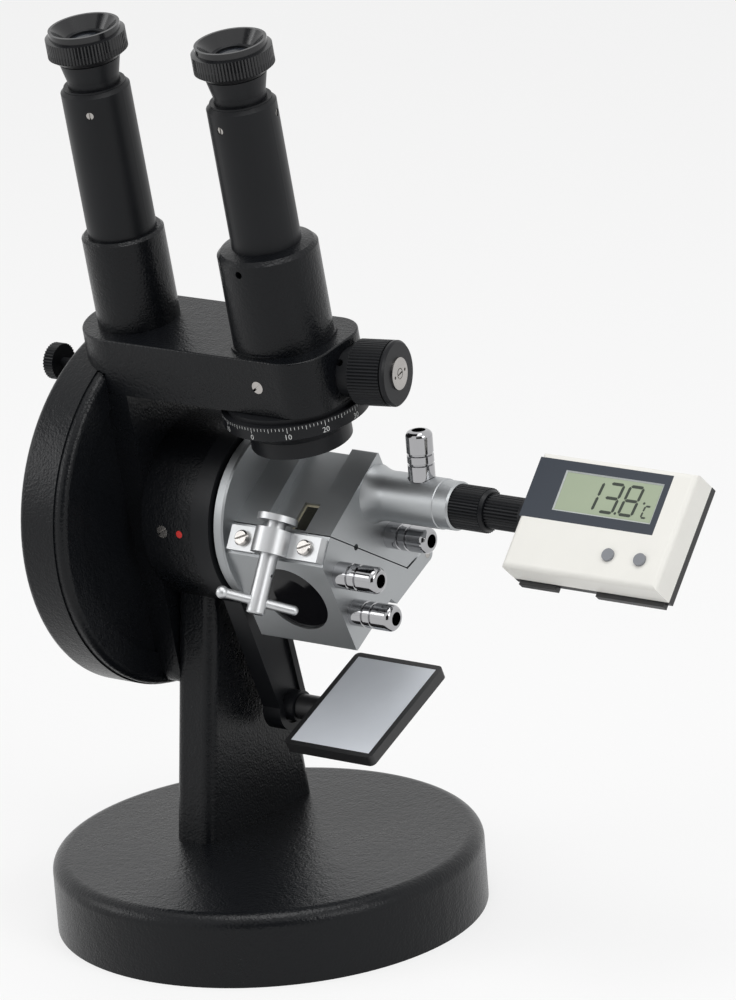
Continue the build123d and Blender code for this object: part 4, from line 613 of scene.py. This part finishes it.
def painted_reflection_mirror(name, colour):
    """Mirror glass with its reflection painted in: an even, faintly blue matt colour with a trace of haze.
    """
    material, shader, place = new_finish(name, colour, metallic=0.0, roughness=0.3)
    haze = noise(place, 90.0, detail=4.0)
    feed(shader,
         Base_Color=blend_colours(haze, colour, [0.93 * c for c in colour]),
         Roughness=0.28 + 0.08 * haze)
    return material


# pale blue base colour: painted reflection of the bright surround, not a mirror finish
mirror_reflection_paint = painted_reflection_mirror("painted_reflection_mirror", (0.86, 0.90, 0.96))
dress(mirror_reflection_paint, "mirror_glass")

# ---- floor, backdrop and lights
# A plain white floor and surround, a soft lamp from the left front, one from the right and one
# from above; two dark cards stand where only polished parts show them.
floor_reach = 6.0
paper_glow = 0.72           # share of the floor's own white, as the camera sees it
surround_fill = 0.5
floor = bpy.data.meshes.new("floor")
floor.from_pydata([(floor_reach * a, floor_reach * b, 0) for a, b in zip(*edge)], [], [(0, 1, 2, 3)])
floor = bpy.data.objects.new("floor", floor)
bpy.context.scene.collection.objects.link(floor)
floor_paint, shader, place = new_finish("floor_paper", (0.86, 0.86, 0.86), metallic=0.0, roughness=0.8)
feed(shader, Roughness=0.75 + 0.1 * noise(place, 30.0))
floor.data.materials.append(floor_paint)


def seen_directly(wire):
    """One for rays from the camera, a mirror or a glass, nought for the light on the object."""
    kinds = [wire.node("LightPath", {}, {}, kind)
             for kind in ("Is Camera Ray", "Is Glossy Ray", "Is Transmission Ray")]
    return wire.node("Clamp", {}, {"Value": kinds[0] + kinds[1] + kinds[2]})


paper = floor_paint.node_tree
glow = Wire(paper, None).node("Emission", {}, {"Color": (1, 1, 1, 1), "Strength": 1.0})
seen = seen_directly(glow)
bare = Wire(paper, shader.outputs[0])
mixed = glow.node("MixShader", {}, {0: paper_glow * seen, 1: bare, 2: glow})
paper.links.new(mixed.socket, paper.nodes["Material Output"].inputs["Surface"])

surround = bpy.data.worlds.new("surround")
bpy.context.scene.world = surround
surround.use_nodes = True
studio = surround.node_tree.nodes["Background"]
studio.inputs["Color"].default_value = (1, 1, 1, 1)
in_sight = seen_directly(Wire(surround.node_tree, None))
strength = surround_fill + (1 - surround_fill) * in_sight
surround.node_tree.links.new(strength.socket, studio.inputs["Strength"])

lit_middle = Vector((0.02, 0, 0.16))


def soft_lamp(name, at, size, power):
    """A square area lamp that faces the middle of the instrument."""
    lamp = bpy.data.lights.new(name, "AREA")
    lamp.size = size
    lamp.energy = power
    holder = bpy.data.objects.new(name, lamp)
    holder.location = at
    holder.rotation_euler = (lit_middle - Vector(at)).to_track_quat("-Z", "Y").to_euler()
    bpy.context.scene.collection.objects.link(holder)


soft_lamp("left_window", (-1.2, -0.9, 0.8), size=0.8, power=6)
soft_lamp("right_window", (1.5, -0.35, 0.9), size=0.6, power=6)
soft_lamp("top_light", (0.15, -0.1, 1.6), size=0.8, power=10)


def stage_card(name, middle, facing, half_width, half_height):
    """A dark card that only polished parts show, as they show the unlit sides of a studio."""
    facing = Vector(facing).normalized()
    sideways = facing.cross(Vector((0, 0, 1))).normalized()
    rising = sideways.cross(facing)
    corners = [Vector(middle) + float(a) * half_width * sideways + float(b) * half_height * rising
               for a, b in zip(*edge)]
    sheet = bpy.data.meshes.new(name)
    sheet.from_pydata([tuple(corner) for corner in corners], [], [(0, 1, 2, 3)])
    card = bpy.data.objects.new(name, sheet)
    bpy.context.scene.collection.objects.link(card)
    sheet.materials.append(card_paint)
    card.visible_camera = False
    card.visible_diffuse = False
    card.visible_shadow = False


card_paint, shader, place = new_finish("card_paint", (0.03, 0.03, 0.03), metallic=0.0, roughness=0.9)
feed(shader, Roughness=0.85 + 0.1 * noise(place, 3.0))
stage_card("card_behind_camera", (1.9, -2.4, 0.9), facing=(-0.59, 0.75, -0.25),
           half_width=1.5, half_height=1.1)
stage_card("card_left_front", (-1.2, -1.1, 1.35), facing=(0.55, 0.55, -0.55),
           half_width=0.55, half_height=0.32)
